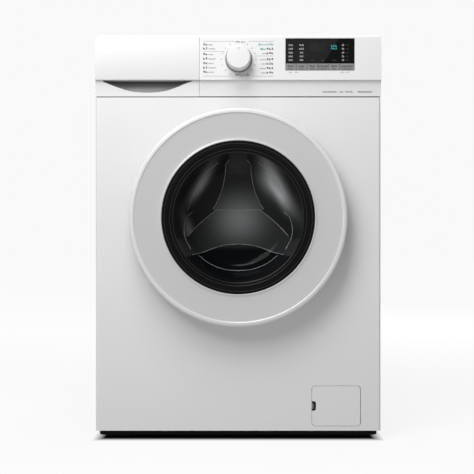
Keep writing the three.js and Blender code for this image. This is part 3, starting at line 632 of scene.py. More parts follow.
def makeSidePanel(side):
    node = side + "_side_panel"
    low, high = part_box(node)
    sign = -1 if side == "left" else 1
    face = low.x if side == "left" else high.x
    front, back, bottom, top = low.y, high.y, low.z, high.z
    width, height = (back - front) / mm, (top - bottom) / mm
    columns, rows = cabinetLook["columns"], cabinetLook["rows"]
    thickness = cabinetLook["sheet"] * mm
    notchBack, notchBottom = [value * mm for value in cabinetLook["fasciaNotch"]]
    grid = {}
    vertices, faces = [], []
    for layer in (0, 1):
        for j in range(rows + 1):
            for i in range(columns + 1):
                u, v = width * i / columns, height * j / rows
                depth = pressedDepth(u, v, width, height) * mm + layer * thickness
                grid[layer, i, j] = len(vertices)
                vertices.append((face - sign * depth, front + u * mm, bottom + v * mm))

    def kept(i, j):
        middleY = front + width * (i + 0.5) / columns * mm
        middleZ = bottom + height * (j + 0.5) / rows * mm
        return not (middleY < notchBack and middleZ > notchBottom)

    for j in range(rows):
        for i in range(columns):
            if not kept(i, j):
                continue
            outer = [grid[0, i, j], grid[0, i + 1, j], grid[0, i + 1, j + 1], grid[0, i, j + 1]]
            inner = [grid[1, i, j], grid[1, i + 1, j], grid[1, i + 1, j + 1], grid[1, i, j + 1]]
            faces.append(tuple(outer))
            faces.append(tuple(inner[::-1]))
            neighbours = [(i, j - 1, 0, 1), (i + 1, j, 1, 2), (i, j + 1, 2, 3), (i - 1, j, 3, 0)]
            for a, b, p, q in neighbours:
                if not (0 <= a < columns and 0 <= b < rows and kept(a, b)):
                    faces.append((outer[q], outer[p], inner[p], inner[q]))
    sheet = newObject(node + "_sheet", vertices, faces)
    outward(sheet)
    # the edges folded inwards at the front and at the rear
    edges = [
        ("frontFold", front, front + thickness, notchBottom - 4 * mm),
        ("rearFold", back - thickness, back, top),
    ]
    pieces = [sheet]
    for fold, y0, y1, z1 in edges:
        x0, x1 = sorted((face - sign * thickness * 1.5, face - sign * cabinetLook[fold] * mm))
        z0 = bottom
        corners = [(x, y, z) for x in (x0, x1) for y in (y0, y1) for z in (z0, z1)]
        strip = newObject("fold", corners, [
            (0, 1, 3, 2), (4, 6, 7, 5), (0, 4, 5, 1), (2, 3, 7, 6), (0, 2, 6, 4), (1, 5, 7, 3)])
        outward(strip)
        pieces.append(strip)
    panel = joined(node + "_skin", pieces)
    smooth(panel, 24)
    return place(panel, "cabinet", paint["enamel"], "white_enamel", node)


for side in ("left", "right"):
    makeSidePanel(side)

for node, width, segments, finish, slotName in (
    ("worktop", 1.6, 3, "laminate", "white_laminate"),
    ("base_plinth", 1.0, 2, "blackPlastic", "black_plastic"),
    ("rear_panel", 0.3, 1, "enamel", "white_enamel"),
    ("rear_service_cover", 1.0, 2, "enamel", "white_enamel"),
):
    place(softened(node, width, segments), "cabinet", paint[finish], slotName, node)


def makeFrontPanel():
    panel = softened("front_panel", 0.25, 1, 60, [(None, 716.6, None, 715.9)])
    mouth, inside = cabinetLook["mouthRadius"], cabinetLook["lipRadius"]
    hole = lathe("hole", [(0, -250), (mouth, -250), (mouth, -230), (0, -230)], 128)
    cutWith(panel, hole)
    # the rolled edge of the hole
    lip = lathe("lip", [
        (inside, -245.4), (178.6, -245.9), (180.2, -245.2), (180.2, -244.9), (178.2, -244.4), (178.0, -236),
        (inside, -236)], 128)
    cutWith(panel, lip, "UNION")
    smooth(panel, 20)
    evenShading(panel)
    return place(panel, "cabinet", paint["enamel"], "white_enamel", "front_panel")


makeFrontPanel()
print("cabinet made")

fasciaLook = {  # in millimetres
    "edge": 0.9,
    "markDepth": 0.12,  # printed marks, proud of the face
    "strokeGap": 0.28,  # share of a letter's width that stays empty
    "programSides": (-73, 74),  # outer ends of the program lists
    "leftRows": [824.6, 816.4, 804.3, 795.2, 785.8, 776.7, 767.5],
    "rightRows": [824.9, 815.5, 806.5, 794.0, 784.8, 775.4, 766.2],
    "ticks": 18,
    "tickRadius": 36,
}

fasciaY = fasciaFace / mm
creaseMoves = [  # old y and z of a row of corners, then its new ones
    (fasciaY + 0.8, 748.6, fasciaY + 4.2, 750.2), (fasciaY + 5.5, 739, fasciaY + 5.6, 741),
    (None, 717.2, None, 718.0)]
place(softened("control_fascia", fasciaLook["edge"], 3, 40, creaseMoves), "cabinet", paint["plastic"],
      "white_plastic", "control_fascia")
place(softened("display_window", 0.3, 2), "cabinet", paint["acrylic"], "black_acrylic", "display_window")


def strokes(x0, x1, z, height, letters, seed=1):
    # a row of blocky strokes that reads as small print without being any letter
    found = []
    pitch = (x1 - x0) / letters
    for i in range(letters):
        left = x0 + pitch * i
        right = left + pitch * (1 - fasciaLook["strokeGap"])
        kind = (i * 7 + seed * 5) % 4
        bar = height * 0.26
        if kind in (0, 2):
            found.append((left, right, z + height / 2 - bar, z + height / 2))
        if kind in (1, 2, 3):
            found.append((left, right, z - bar / 2, z + bar / 2))
        if kind in (0, 1, 3):
            found.append((left, right, z - height / 2, z - height / 2 + bar))
        middle = left if kind % 2 else (left + right) / 2
        found.append((middle, middle + pitch * 0.24, z - height / 2, z + height / 2))
    return [tuple(v * mm for v in box) for box in found]


def printMarks(name, boxes, material, slot, body="cabinet", face=fasciaFace, sink=0.05):
    # marks on a face at the given y, sunk a little into it
    depth = fasciaLook["markDepth"]
    piece = bars(name, boxes, face - depth * mm, (depth + sink) * mm)
    return place(piece, body, material, slot)


def makeProgramMarks():
    leftX, rightX = fasciaLook["programSides"]
    dark, pale, teal = [], [], []
    for i, z in enumerate(fasciaLook["leftRows"]):
        dark += strokes(leftX, leftX + 10, z, 4.2, 2, seed=i)
        pale += strokes(leftX + 11, leftX + 20 + (i * 5) % 9, z - 0.7, 2.6, 5 + i % 3, seed=i + 3)
    for i, z in enumerate(fasciaLook["rightRows"]):
        strong, weak = (dark, pale) if i else (teal, teal)  # the first name stands out
        strong.extend(strokes(rightX - 15, rightX, z, 4.2, 3, seed=i + 9))
        weak.extend(strokes(rightX - 30 + (i * 3) % 7, rightX - 16, z - 0.8, 2.6, 6, seed=i))
    symbols = [(42, 45.6, 823.2, 826.6), (46, 51, 813.6, 817.2)]
    teal += [tuple(v * mm for v in symbol) for symbol in symbols]
    dark += strokes(-4, 4, 830.5, 3.2, 2, seed=4) + strokes(-6, 6, 761.8, 3.2, 3, seed=2)
    pale += strokes(6, 16, 829.6, 2.2, 4, seed=7) + strokes(8, 24, 760.9, 2.2, 6, seed=3)
    rules = [
        (leftX, -8, 830.9, 831.5), (leftX, -28, 810.0, 810.6), (leftX, -8, 758.4, 759.0),
        (20, rightX, 830.9, 831.5), (34, rightX, 800.4, 801.0), (28, rightX, 758.4, 759.0),
    ]
    pale += [tuple(v * mm for v in rule) for rule in rules]
    printMarks("program_marks_dark", dark, paint["ink"], "white_plastic")
    printMarks("program_marks_pale", pale, paint["paleInk"], "white_plastic")
    printMarks("program_marks_teal", teal, paint["tealInk"], "white_plastic")
    # short ticks round the knob, with a wider space at the bottom
    places = []
    count = fasciaLook["ticks"]
    for i in range(count):
        turn = 2 * math.pi * (i + 0.5) / count
        away = fasciaLook["tickRadius"] * mm
        direction = Vector((math.sin(turn), 0, math.cos(turn)))
        point = Vector((knobX, fasciaFace - 0.02 * mm, knobZ)) + direction * away
        places.append((point, direction))
    tick = {"Width": 0.9, "Height": 0.24, "Depth": 3.0}
    ticks = repeated("program_ticks", places, "block", tick, paint["ink"])
    place(ticks, "cabinet", paint["ink"], "white_plastic")


makeProgramMarks()

displayLook = {  # in millimetres
    "rows": [823.3, 815.5, 807.6, 799.9, 792.3],
    "digits": (147.6, 184.4, 810.2, 828.4),  # window of the digits: x0, x1, z0, z1
    "glareOutline": [(98.8, 785.9), (177.5, 785.9), (195.2, 814), (209.5, 836.8), (98.8, 836.8)],
}


def makeDisplayMarks():
    bright, dim, teal = [], [], []
    for i, z in enumerate(displayLook["rows"]):
        bright += strokes(104.8, 114.0, z, 3.4, 4, seed=i)
        inset = 0 if i < 2 else 1.2
        bright += strokes(127 + inset, 136.8 - inset, z, 3.4, 4, seed=i + 2)
        bright += strokes(215.9, 220.8, z, 3.8, 2, seed=i + 5)
        dim += strokes(223.7, 230.4, z, 2.6, 4, seed=i)
    for x in (150.7, 172.6, 196.7):
        dim += strokes(x, x + 7.8, 791.6, 2.8, 4, seed=int(x))
    teal += strokes(193.2, 206.4, 821.6, 3.6, 3, seed=1) + strokes(193.2, 206.4, 816.2, 3.6, 3, seed=2)
    printMarks("display_marks", bright, paint["lamp"], "black_acrylic")
    printMarks("display_marks_faint", dim, paint["dimLamp"], "black_acrylic")
    printMarks("display_marks_teal", teal, paint["tealLamp"], "black_acrylic")
    digits = [tuple(v * mm for v in displayLook["digits"])]
    printMarks("display_digits", digits, paint["digits"], "black_acrylic", face=fasciaFace - 0.04 * mm)
    # a painted reflection on part of the glass, a little brighter than the rest, with a slanted edge
    layers = (fasciaFace - 0.03 * mm, fasciaFace + 0.05 * mm)
    sheen = loft("display_painted_glare", [
        [(x * mm, y, z * mm) for x, z in displayLook["glareOutline"]] for y in layers])
    place(sheen, "cabinet", paint["glare"], "black_acrylic")


makeDisplayMarks()

keyLook = {  # in millimetres
    "letters": (3, 3, 3, 5, 3, 6),  # on each key
    "letterHalf": 2.05,  # half of a letter's share of the row
    "upperLine": 779.3,
    "lowerLine": 773.7,
    "fineLine": 727.5,  # the small print low on the fascia
    "fineHeight": 2.2,
}


def makeKeys():
    for i, letters in enumerate(keyLook["letters"]):
        node = f"key_{i + 1}"
        body = f"key_body_{i + 1}"
        low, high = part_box(node)
        place(softened(node, 0.7, 3), body, paint["keys"], "key_grey_plastic", node)
        middle = (low.x + high.x) / 2 / mm
        half = letters * keyLook["letterHalf"]
        marks = strokes(middle - half, middle + half, keyLook["upperLine"], 3.4, letters, seed=i)
        half *= 0.8
        marks += strokes(middle - half, middle + half, keyLook["lowerLine"], 2.0, letters + 1, seed=i + 2)
        printMarks(node + "_marks", marks, paint["ink"], "key_grey_plastic", body, low.y)
    note = strokes(106, 112.5, 766.6, 2.2, 3, seed=2) + strokes(118, 125, 766.6, 2.0, 4, seed=4)
    note += strokes(213, 221.5, 766.8, 2.2, 4, seed=6) + strokes(225, 231.5, 766.8, 2.0, 4, seed=1)
    printMarks("key_notes", note, paint["paleInk"], "white_plastic")
    fine = []
    for x0, x1, letters, seed in ((176, 206, 9, 3), (212, 220, 2, 5), (224, 240, 4, 2), (250, 280, 10, 6)):
        fine += strokes(x0, x1, keyLook["fineLine"], keyLook["fineHeight"], letters, seed=seed)
    # the lower band slopes, so these marks reach deeper
    printMarks("fascia_fine_print", fine, paint["paleInk"], "white_plastic",
               face=(fasciaY + 7.1) * mm, sink=1.08)


makeKeys()

knobLook = {  # in millimetres
    "skirtRadius": 28,
    "skirtLift": 12,  # from the knob's back to its skirt
    "ribs": 60,
    "ribRadius": 24.7,
    "rib": {"Width": 0.8, "Height": 14, "Depth": 0.9},
    "pointer": (15.5, 20.2),  # its ends, from the knob's axis
}


def makeKnob():
    back = knobHigh.y / mm
    skirt = back - knobLook["skirtLift"]
    profile = [
        (0, back), (3, back), (3, skirt - 2.0), (25.3, skirt - 2.6), (25.3, skirt - 4.6),
        (24.7, skirt - 20.5), (24.2, skirt - 22.8), (23.0, skirt - 24.4), (21.4, skirt - 25.1),
        (20.6, skirt - 24.9), (19, skirt - 25.0), (0, skirt - 25.3),
    ]
    knob = lathe("program_knob_turned", profile, 128, knobX, knobZ, 30)
    place(knob, "knob", paint["plastic"], "white_plastic", "program_knob")
    rim = knobLook["skirtRadius"]
    # its dark grey is partly the skirt's own colour, partly painted shade round the knob
    skirtRing = lathe("program_knob_skirt", [
        (24.6, skirt), (rim, skirt), (rim, skirt - 2.0), (rim - 0.6, skirt - 2.7), (24.6, skirt - 3.1)],
        128, knobX, knobZ)
    place(skirtRing, "knob", paint["skirt"], "white_plastic")
    # fine grip ribs round the side
    places = []
    for i in range(knobLook["ribs"]):
        turn = 2 * math.pi * i / knobLook["ribs"]
        direction = Vector((math.sin(turn), 0, math.cos(turn)))
        middle = Vector((knobX, (skirt - 12.5) * mm, knobZ))
        places.append((middle + direction * knobLook["ribRadius"] * mm, direction))
    ribs = repeated("program_knob_ribs", places, "block", knobLook["rib"], paint["plastic"])
    place(ribs, "knob", paint["plastic"], "white_plastic")
    near, far = [knobZ + end * mm for end in knobLook["pointer"]]
    pointer = bars("program_knob_pointer", [(knobX - 0.6 * mm, knobX + 0.6 * mm, near, far)],
                   (skirt - 25.4) * mm, 0.6 * mm)
    place(pointer, "knob", paint["paleInk"], "white_plastic")


makeKnob()

drawerLook = {
    "columns": 110,
    "scoopTop": 750.2,
    "scoopDepth": 7.5,
    "scoopRows": 9,
    "scoopEdge": [(-285, 749.6), (-268, 742.5), (-247, 735), (-222, 728.2), (-190, 726), (-158, 728.4),
                  (-131, 736), (-112, 743.5), (-95, 749.6)],  # lower edge of the scoop, x and z
    "bottom": 718,
    "corner": 10,  # rounding of the top left corner
    "brow": 6,  # rounding of the top edge
}
lowerBand = [  # height and y of the set-back lower band
    (717, fasciaY + 8.2), (727, fasciaY + 7.6), (741, fasciaY + 5.6), (750.2, fasciaY + 4.2)]


def between(value, table):
    # straight-line reading of a two-column table
    for (a, p), (b, q) in zip(table, table[1:]):
        if min(a, b) <= value <= max(a, b):
            return p + (q - p) * (value - a) / (b - a)
    return table[0][1] if abs(value - table[0][0]) < abs(value - table[-1][0]) else table[-1][1]


def scoopRow(x, edge):
    # the scoop's wall at one place across: from its lower edge back and up to the overhang
    top, rows = drawerLook["scoopTop"], drawerLook["scoopRows"]
    low = between(x, edge) if edge[0][0] < x < edge[-1][0] else edge[0][1]
    deep = drawerLook["scoopDepth"] * min((top - low) / 9, 1)
    found = []
    for k in range(rows):
        t = k / (rows - 1)
        found.append((between(low, lowerBand) + deep * math.sin(t * math.pi / 2), low + (top - low) * t))
    return found


def makeDrawerFront():
    low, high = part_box("drawer_front")
    left, right, back, top = low.x / mm, high.x / mm, high.y / mm, high.z / mm
    edge = [(p.x, p.z) for p in throughPoints([(x, 0, z) for x, z in drawerLook["scoopEdge"]], 8)]
    corner, columns, brow = drawerLook["corner"], drawerLook["columns"], drawerLook["brow"]
    sections, walls = [], []
    for i in range(columns + 1):
        t = i / columns
        x = left + (right - left) * (t if t > 0.06 else t * t / 0.06)
        lost = max(left + corner - x, 0)
        crown = top - corner + math.sqrt(max(corner ** 2 - lost ** 2, 0))
        section = [(back, crown)]
        for k in range(7):
            turn = math.pi / 2 * k / 6
            section.append((
                fasciaY + brow - brow * math.sin(turn), crown - brow + brow * math.cos(turn)))
        section += [(fasciaY, 752.2), (fasciaY + 0.3, 751.4), (fasciaY + 1.1, 751)]
        wall = scoopRow(x, edge)
        section += wall[::-1]
        section += [(between(z, lowerBand), z) for z in (727, 722, drawerLook["bottom"])]
        # rows that would lie above the scoop's lower edge are drawn down to it
        lowest = wall[0][1]
        section = [(y, z) for y, z in section[:-3]] + [
            (between(min(z, lowest - 0.2), lowerBand), min(z, lowest - 0.2)) for _, z in section[-3:]]
        section += [(fasciaY + 9.4, drawerLook["bottom"] - 0.6), (back, drawerLook["bottom"] - 0.6)]
        sections.append([(x * mm, y * mm, z * mm) for y, z in section])
        if edge[0][0] + 2 < x < edge[-1][0] - 2:
            skin = [(y - 0.25, z - 0.12) for y, z in wall] + [(y + 0.4, z) for y, z in wall[::-1]]
            walls.append([(x * mm, y * mm, z * mm) for y, z in skin])
    front = loft("drawer_front_moulding", sections)
    smooth(front, 38)
    place(front, "drawer", paint["plastic"], "white_plastic", "drawer_front")
    # a thin dark sheet on the scoop's wall: painted shade in the recess
    scoop = loft("drawer_scoop_shade_sheet", walls)
    smooth(scoop, 50)
    place(scoop, "drawer", paint["scoop"], "white_plastic")


makeDrawerFront()
place(softened("drawer_tray", 0.6), "drawer", paint["tray"], "tray_grey_plastic", "drawer_tray")
place(softened("dispenser_housing", 0.6), "cabinet", paint["tub"], "tub_plastic", "dispenser_housing")
place(softened("control_board", 0.3, 1), "cabinet", paint["board"], "circuit_board", "control_board")


def makeSiphonCap():
    # the loose cap in the softener compartment, with its edges rounded
    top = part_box("drawer_tray")[1].z
    cap = bars("siphon_cap", [(-0.2105, -0.1695, top - 6 * mm, top - 2.5 * mm)], -0.062, 0.064)
    build = bmesh.new()
    build.from_mesh(cap.data)
    bmesh.ops.bevel(build, geom=build.edges[:], offset=1.2 * mm, segments=3, affect="EDGES")
    build.to_mesh(cap.data)
    build.free()
    smooth(cap)
    place(cap, "drawer", paint["plastic"], "white_plastic")


makeSiphonCap()
print("controls made")

doorLook = {  # in millimetres
    "segments": 192,
    "grip": (207.5, 230),  # the grip's recess across, at the right edge
    "gripHalf": 45,  # half its height
    "slot": (-232, -205),  # the hinge's slots across, at the left edge
    "neckHeight": 34,  # the hinge's necks, above and below the axis
    "neckHalf": 4,
    "beads": ((152.2, -282.1), (141.0, -278.6), (135.0, -276.0)),  # radius and y of each bead on the bezel
    "beadRadius": 0.32,
    "glassWall": 3.6,
    "edgeLine": 0.55,  # radius of the moulded lines on the glass
}


def makeDoorRing():
    profile = [
        # the outer rim, from the back forwards
        (213.8, -249), (216.5, -249), (219.2, -251.4), (222.6, -256.5), (224.6, -262), (225, -268),
        (225, -280), (224.5, -284.2), (223.2, -287.2), (221, -289.2), (218.2, -290), (215.4, -289.7),
        (214.2, -288.9), (213.6, -288.4), (212.6, -288.2),
        # the face, and the lip round the window
        (205, -287.1), (190, -285.3), (175, -283.8), (165, -283.0), (162.4, -283.2), (160.6, -284.0),
        (159.4, -284.4), (158.3, -284.0), (157.7, -282.8), (157.6, -273.5),
        # back along the inside
        (160.4, -273.5), (160.4, -280.0), (212, -284.6), (218.6, -286.2), (221.9, -281), (222, -262),
        (218.5, -256),
    ]
    ring = lathe("door_ring", profile, doorLook["segments"])
    half = doorLook["gripHalf"] * mm
    x0, x1 = [x * mm for x in doorLook["grip"]]
    cutWith(ring, bars("grip", [(x0, x1, axisHeight - half, axisHeight + half)], -0.264, 0.018))
    half = doorLook["neckHalf"] * mm
    x0, x1 = [x * mm for x in doorLook["slot"]]
    for side in (-1, 1):  # slots for the hinge's necks
        height = axisHeight + side * doorLook["neckHeight"] * mm
        cutWith(ring, bars("slot", [(x0, x1, height - half, height + half)], -0.276, 0.03))
    smooth(ring, 24)
    place(ring, "door", paint["ring"], "ring_grey_plastic", "door_outer_frame")


makeDoorRing()


def makeWindowBezel():
    profile = [
        (157.2, -282.4), (157.2, -273.4), (134.2, -273.4), (134.0, -275.2), (136.2, -276.4), (139.5, -276.8),
        (140.2, -277.8), (141.4, -278.6), (144.6, -279.0), (145.6, -280.2), (146.8, -280.6), (150.6, -280.9),
        (151.4, -281.7), (153.2, -282.2), (155.6, -282.6),
    ]
    bezel = lathe("window_bezel", profile, doorLook["segments"], angle=18)
    place(bezel, "door", paint["gloss"], "black_gloss_plastic", "door_window_bezel")
    # thin rings on the bezel's steps, lighter grey as painted highlights
    for radius, y in doorLook["beads"]:
        path = ringPath(radius, y, 144)
        bead = sweep(f"window_bead_{int(radius)}", path, doorLook["beadRadius"] * mm, 6, closed=True)
        place(bead, "door", paint["bead"], "black_gloss_plastic")


makeWindowBezel()

bowlLine = softLine([
    (154, -271), (136, -271), (131, -263), (112, -194), (98, -181.5), (62, -176.6), (30, -175.5),
    (0, -175.5)], 3)


def bowlFront(radius):
    # y of the glass's front surface at a distance from the door's axis, in millimetres
    outline = wallOutline(bowlLine, doorLook["glassWall"])
    half = len(outline) // 2
    sides = sorted((outline[:half], outline[half:]), key=lambda side: min(
        side, key=lambda point: abs(point[0]))[1])
    return between(radius, sorted(sides[0]))

bowlLook = {  # moulded shapes on the glass, in millimetres from the door's axis
    "column": [(122, 19), (112, 27), (96, 28), (62, 35), (35, 46), (19, 55)],  # height and half width
    "shelf": 18.5,  # height of the line under the column
    "lens": [(0, -55), (28, -57.5), (52, -64), (76, -73), (120, -84)],  # upper edge of the dark lens
    "leg": [(47, 18.5), (67, 3), (92, -20), (115, -45)],  # upper edge of a leg
    "halfLines": [
        [(19, 122), (27, 112), (28, 96), (35, 62), (46, 35), (55, 20)],
        [(47, 18.5), (67, 3), (92, -20), (107, -38)],
        [(42, 116), (72, 92), (95, 54), (108, 18)],
        [(99, 14), (110, 2), (115, -20), (112, -42), (100, -66)],
        [(0, -55), (28, -57.5), (52, -64), (76, -73), (96, -77)],
        [(0, -112), (30, -109), (62, -96), (84, -79)],
    ],
    "crossLine": [(-47, 18.8), (-20, 18.2), (0, 18.0), (20, 18.2), (47, 18.8)],
}


def blob(x, z, cx, cz, rx, rz, lean=0.0):
    # a soft oval patch: its middle, its half widths and its lean in degrees
    c, s = math.cos(math.radians(lean)), math.sin(math.radians(lean))
    dx, dz = (x - cx) * c + (z - cz) * s, (z - cz) * c - (x - cx) * s
    return math.exp(-(dx / rx) ** 2 - (dz / rz) ** 2)


def paintedGlassLight(x, z):
    # painted light on the tinted glass at a place, from 0 plain black to 1: a painted glow over the moulded
    # figure, painted highlights and reflections at the upper right and left, next to none in the dark lens at
    # the bottom
    side = abs(x)
    lens = between(side, bowlLook["lens"])
    leg = between(side, bowlLook["leg"])
    shelf = bowlLook["shelf"]
    inColumn = z > shelf and side < between(z, bowlLook["column"])
    inLegs = lens < z <= shelf and (side < bowlLook["leg"][0][0] or z < leg)
    paintedLight = 0.04 * blob(x, z, 0, 0, 120, 120)
    if inColumn or inLegs:
        paintedLight = (0.26 if inColumn else 0.30) * blob(x, z, 0, 6, 50, 46)
        paintedLight += 0.03 + 0.06 * blob(x, z, 0, 112, 40, 14)
    elif z > lens:
        paintedLight += 1.25 * blob(x, z, 84, 66, 11, 44, 30) + 0.50 * blob(x, z, -80, 72, 8, 38, -34)
        paintedLight += 0.35 * blob(x, z, 62, 80, 16, 30, 30)
        paintedLight += 0.30 * blob(x, z, -106, -24, 8, 30, 16)
    else:
        paintedLight = 0.03 * blob(x, z, 0, -58, 60, 6)
    return min(paintedLight, 1)


def makeDoorGlass():
    outline = wallOutline(bowlLine, doorLook["glassWall"])
    fineOutline = []
    for a, b in zip(outline, outline[1:] + outline[:1]):
        pieces = max(int(math.dist(a, b) / 3.0), 1)
        fineOutline += [tuple(Vector(a).lerp(Vector(b), i / pieces)) for i in range(pieces)]
    glass = lathe("door_bowl", fineOutline, doorLook["segments"], angle=60)
    # the painted glow, highlights and reflections of the glass, stored on its points
    tint = glass.data.attributes.new("paintedLight", "FLOAT", "POINT")
    tint.data.foreach_set("value", [
        paintedGlassLight(v.co.x / mm, (v.co.z - axisHeight) / mm) for v in glass.data.vertices])
    place(glass, "door", paint["glass"], "smoked_glass", "door_glass")
    # moulded lines, lighter grey than the glass as painted highlights along them: the right half, the same
    # mirrored, and the line across
    halves = bowlLook["halfLines"]
    lines = halves + [[(-x, z) for x, z in half] for half in halves] + [bowlLook["crossLine"]]
    pieces = []
    for i, line in enumerate(lines):
        route = throughPoints([(x, 0, z) for x, z in line], 7)
        lifted = []
        for point in route:
            y = bowlFront(math.hypot(point.x, point.z))
            lifted.append((point.x * mm, y * mm, axisHeight + point.z * mm))
        pieces.append(sweep(f"line_{i}", lifted, doorLook["edgeLine"] * mm, 6))
    moulding = joined("door_bowl_lines", pieces)
    smooth(moulding, 60)
    place(moulding, "door", paint["glassLineHighlight"], "smoked_glass")


makeDoorGlass()

for node, body, width, finish, slotName in (
    ("door_inner_frame", "door", 0.5, "tray", "ring_grey_plastic"),
    ("door_hinge_arm", "door", 0.4, "alloy", "cast_aluminium"),
    ("door_hinge_bracket", "cabinet", 0.3, "zinc", "zinc_steel"),
    ("latch_hook", "latch", 0.5, "zinc", "zinc_steel"),
    ("door_lock", "cabinet", 1.0, "blackPlastic", "black_plastic"),
):
    place(softened(node, width), body, paint[finish], slotName, node)

gasketLook = {"wall": 2.3, "clampRadius": 180.6, "clampWire": 1.5}  # in millimetres


def makeGasket():
    line = softLine([
        (137, -240.5), (152, -244.6), (166, -247.2), (173, -245), (173.2, -235.5), (158, -230.5), (158, -226),
        (175.6, -221.5), (175.6, -215.5), (166, -212), (166, -203)], 2)
    gasket = lathe("door_gasket_bellows", wallOutline(line, gasketLook["wall"]), 128, angle=40)
    gasket.data.materials.append(paint["greyRubber"])
    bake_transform(gasket)
    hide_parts("door_gasket")
    ring = ringPath(gasketLook["clampRadius"], -239.5, 96)
    clamp = sweep("gasket_clamp_ring", ring, gasketLook["clampWire"] * mm, 8, closed=True)
    place(clamp, "cabinet", paint["zinc"], "zinc_steel")


makeGasket()
print("door made")

drumLook = {  # in millimetres
    "radius": 239.3,
    "wall": 1.2,
    "firstRow": -158,
    "rows": 12,  # rings of holes
    "rowPitch": 21,
    "holesRound": 60,
    "hole": {"Width": 2.2, "Depth": 0.5, "Facets": 8},
    "backRings": ((60, 12), (100, 20), (140, 28), (180, 36), (212, 42)),  # radius and holes in each
}


def makeDrum():
    radius = drumLook["radius"]
    line = softLine([
        (167, -180), (169.5, -185), (228, -185), (radius, -177), (radius, -60), (radius, 60), (radius, 108),
        (231, 115), (70, 112.4), (30, 112.4), (0, 112.4)], 1)
    drum = lathe("drum_basket", wallOutline(line, drumLook["wall"]), 160, angle=26)
    place(drum, "drum", paint["steel"], "stainless_steel", "drum_shell")
    places = []
    wall = (radius - drumLook["wall"] / 2 - 0.02) * mm
    for row in range(drumLook["rows"]):
        y = (drumLook["firstRow"] + row * drumLook["rowPitch"]) * mm
        for i in range(drumLook["holesRound"]):
            turn = 2 * math.pi * (i + 0.5 * (row % 2)) / drumLook["holesRound"]
            if math.cos(3 * turn) > 0.955:
                continue  # the lifters stand here
            inward = Vector((-math.sin(turn), 0, -math.cos(turn)))
            places.append((Vector((0, y, axisHeight)) - inward * wall, inward))
    for ringRadius, count in drumLook["backRings"]:
        places += [(Vector(point), Vector((0, -1, 0))) for point in ringPath(ringRadius, 111.5, count)]
    holes = repeated("drum_holes", places, "disc", drumLook["hole"], paint["hole"])
    place(holes, "drum", paint["hole"], "stainless_steel")


makeDrum()

for number in (1, 2, 3):
    node = f"lifter_{number}"
    place(softened(node, 3.0, 4, 15), "drum", paint["tray"], "white_plastic", node)

for node, body, width, finish, slotName in (
    ("drum_spider", "drum", 1.5, "alloy", "cast_aluminium"),
    ("drum_pulley", "drum", 0.6, "alloy", "cast_aluminium"),
    ("tub_rear", "wash_unit", 0.8, "tub", "tub_plastic"),
    ("upper_counterweight", "wash_unit", 3.0, "concrete", "concrete"),
    ("lower_counterweight", "wash_unit", 3.0, "concrete", "concrete"),
    ("heater", "wash_unit", 0, "steel", "stainless_steel"),
    ("motor", "wash_unit", 1.2, "alloy", "cast_aluminium"),
    ("bearing_set", "wash_unit", 0.5, "steel", "stainless_steel"),
    ("left_damper_rod", "wash_unit", 0.5, "zinc", "zinc_steel"),
    ("right_damper_rod", "wash_unit", 0.5, "zinc", "zinc_steel"),
    ("left_damper_tube", "cabinet", 1.0, "blackPlastic", "black_plastic"),
    ("right_damper_tube", "cabinet", 1.0, "blackPlastic", "black_plastic"),
    ("motor_pulley", "rotor", 0.5, "zinc", "zinc_steel"),
    ("drain_pump", "cabinet", 0.8, "tub", "tub_plastic"),
    ("pump_filter", "filter", 0.8, "tray", "tray_grey_plastic"),
    ("inlet_valve", "cabinet", 0.6, "tub", "tub_plastic"),
    ("cable_gland", "cabinet", 0.4, "blackRubber", "black_rubber"),
):
    place(softened(node, width), body, paint[finish], slotName, node)

tubLook = {"wall": 3, "ribs": 36, "rib": {"Width": 3, "Height": 140, "Depth": 4}}  # in millimetres


def makeTubFront():
    line = softLine([
        (162, -212), (162, -198.5), (200, -198.5), (254, -198.5), (266.5, -188), (266.5, -120), (266.5, -34),
        (275, -34)], 1)
    tub = lathe("tub_front_shell", wallOutline(line, tubLook["wall"]), 128)
    places = []
    for i in range(tubLook["ribs"]):
        turn = 2 * math.pi * i / tubLook["ribs"]
        direction = Vector((math.sin(turn), 0, math.cos(turn)))
        places.append((Vector((0, -0.11, axisHeight)) + direction * 269 * mm, direction))
    ribs = repeated("tub_front_ribs", places, "block", tubLook["rib"], paint["tub"])
    place(tub, "wash_unit", paint["tub"], "tub_plastic", "tub_front")
    place(ribs, "wash_unit", paint["tub"], "tub_plastic")


makeTubFront()

beltLook = {  # in millimetres
    "drumPulley": 130.5,  # radii that the belt lies on
    "motorPulley": 10.5,
    "motorHeight": 136,
    "ribs": 5,
    "steps": (64, 16),  # round the drum's pulley and round the motor's
}


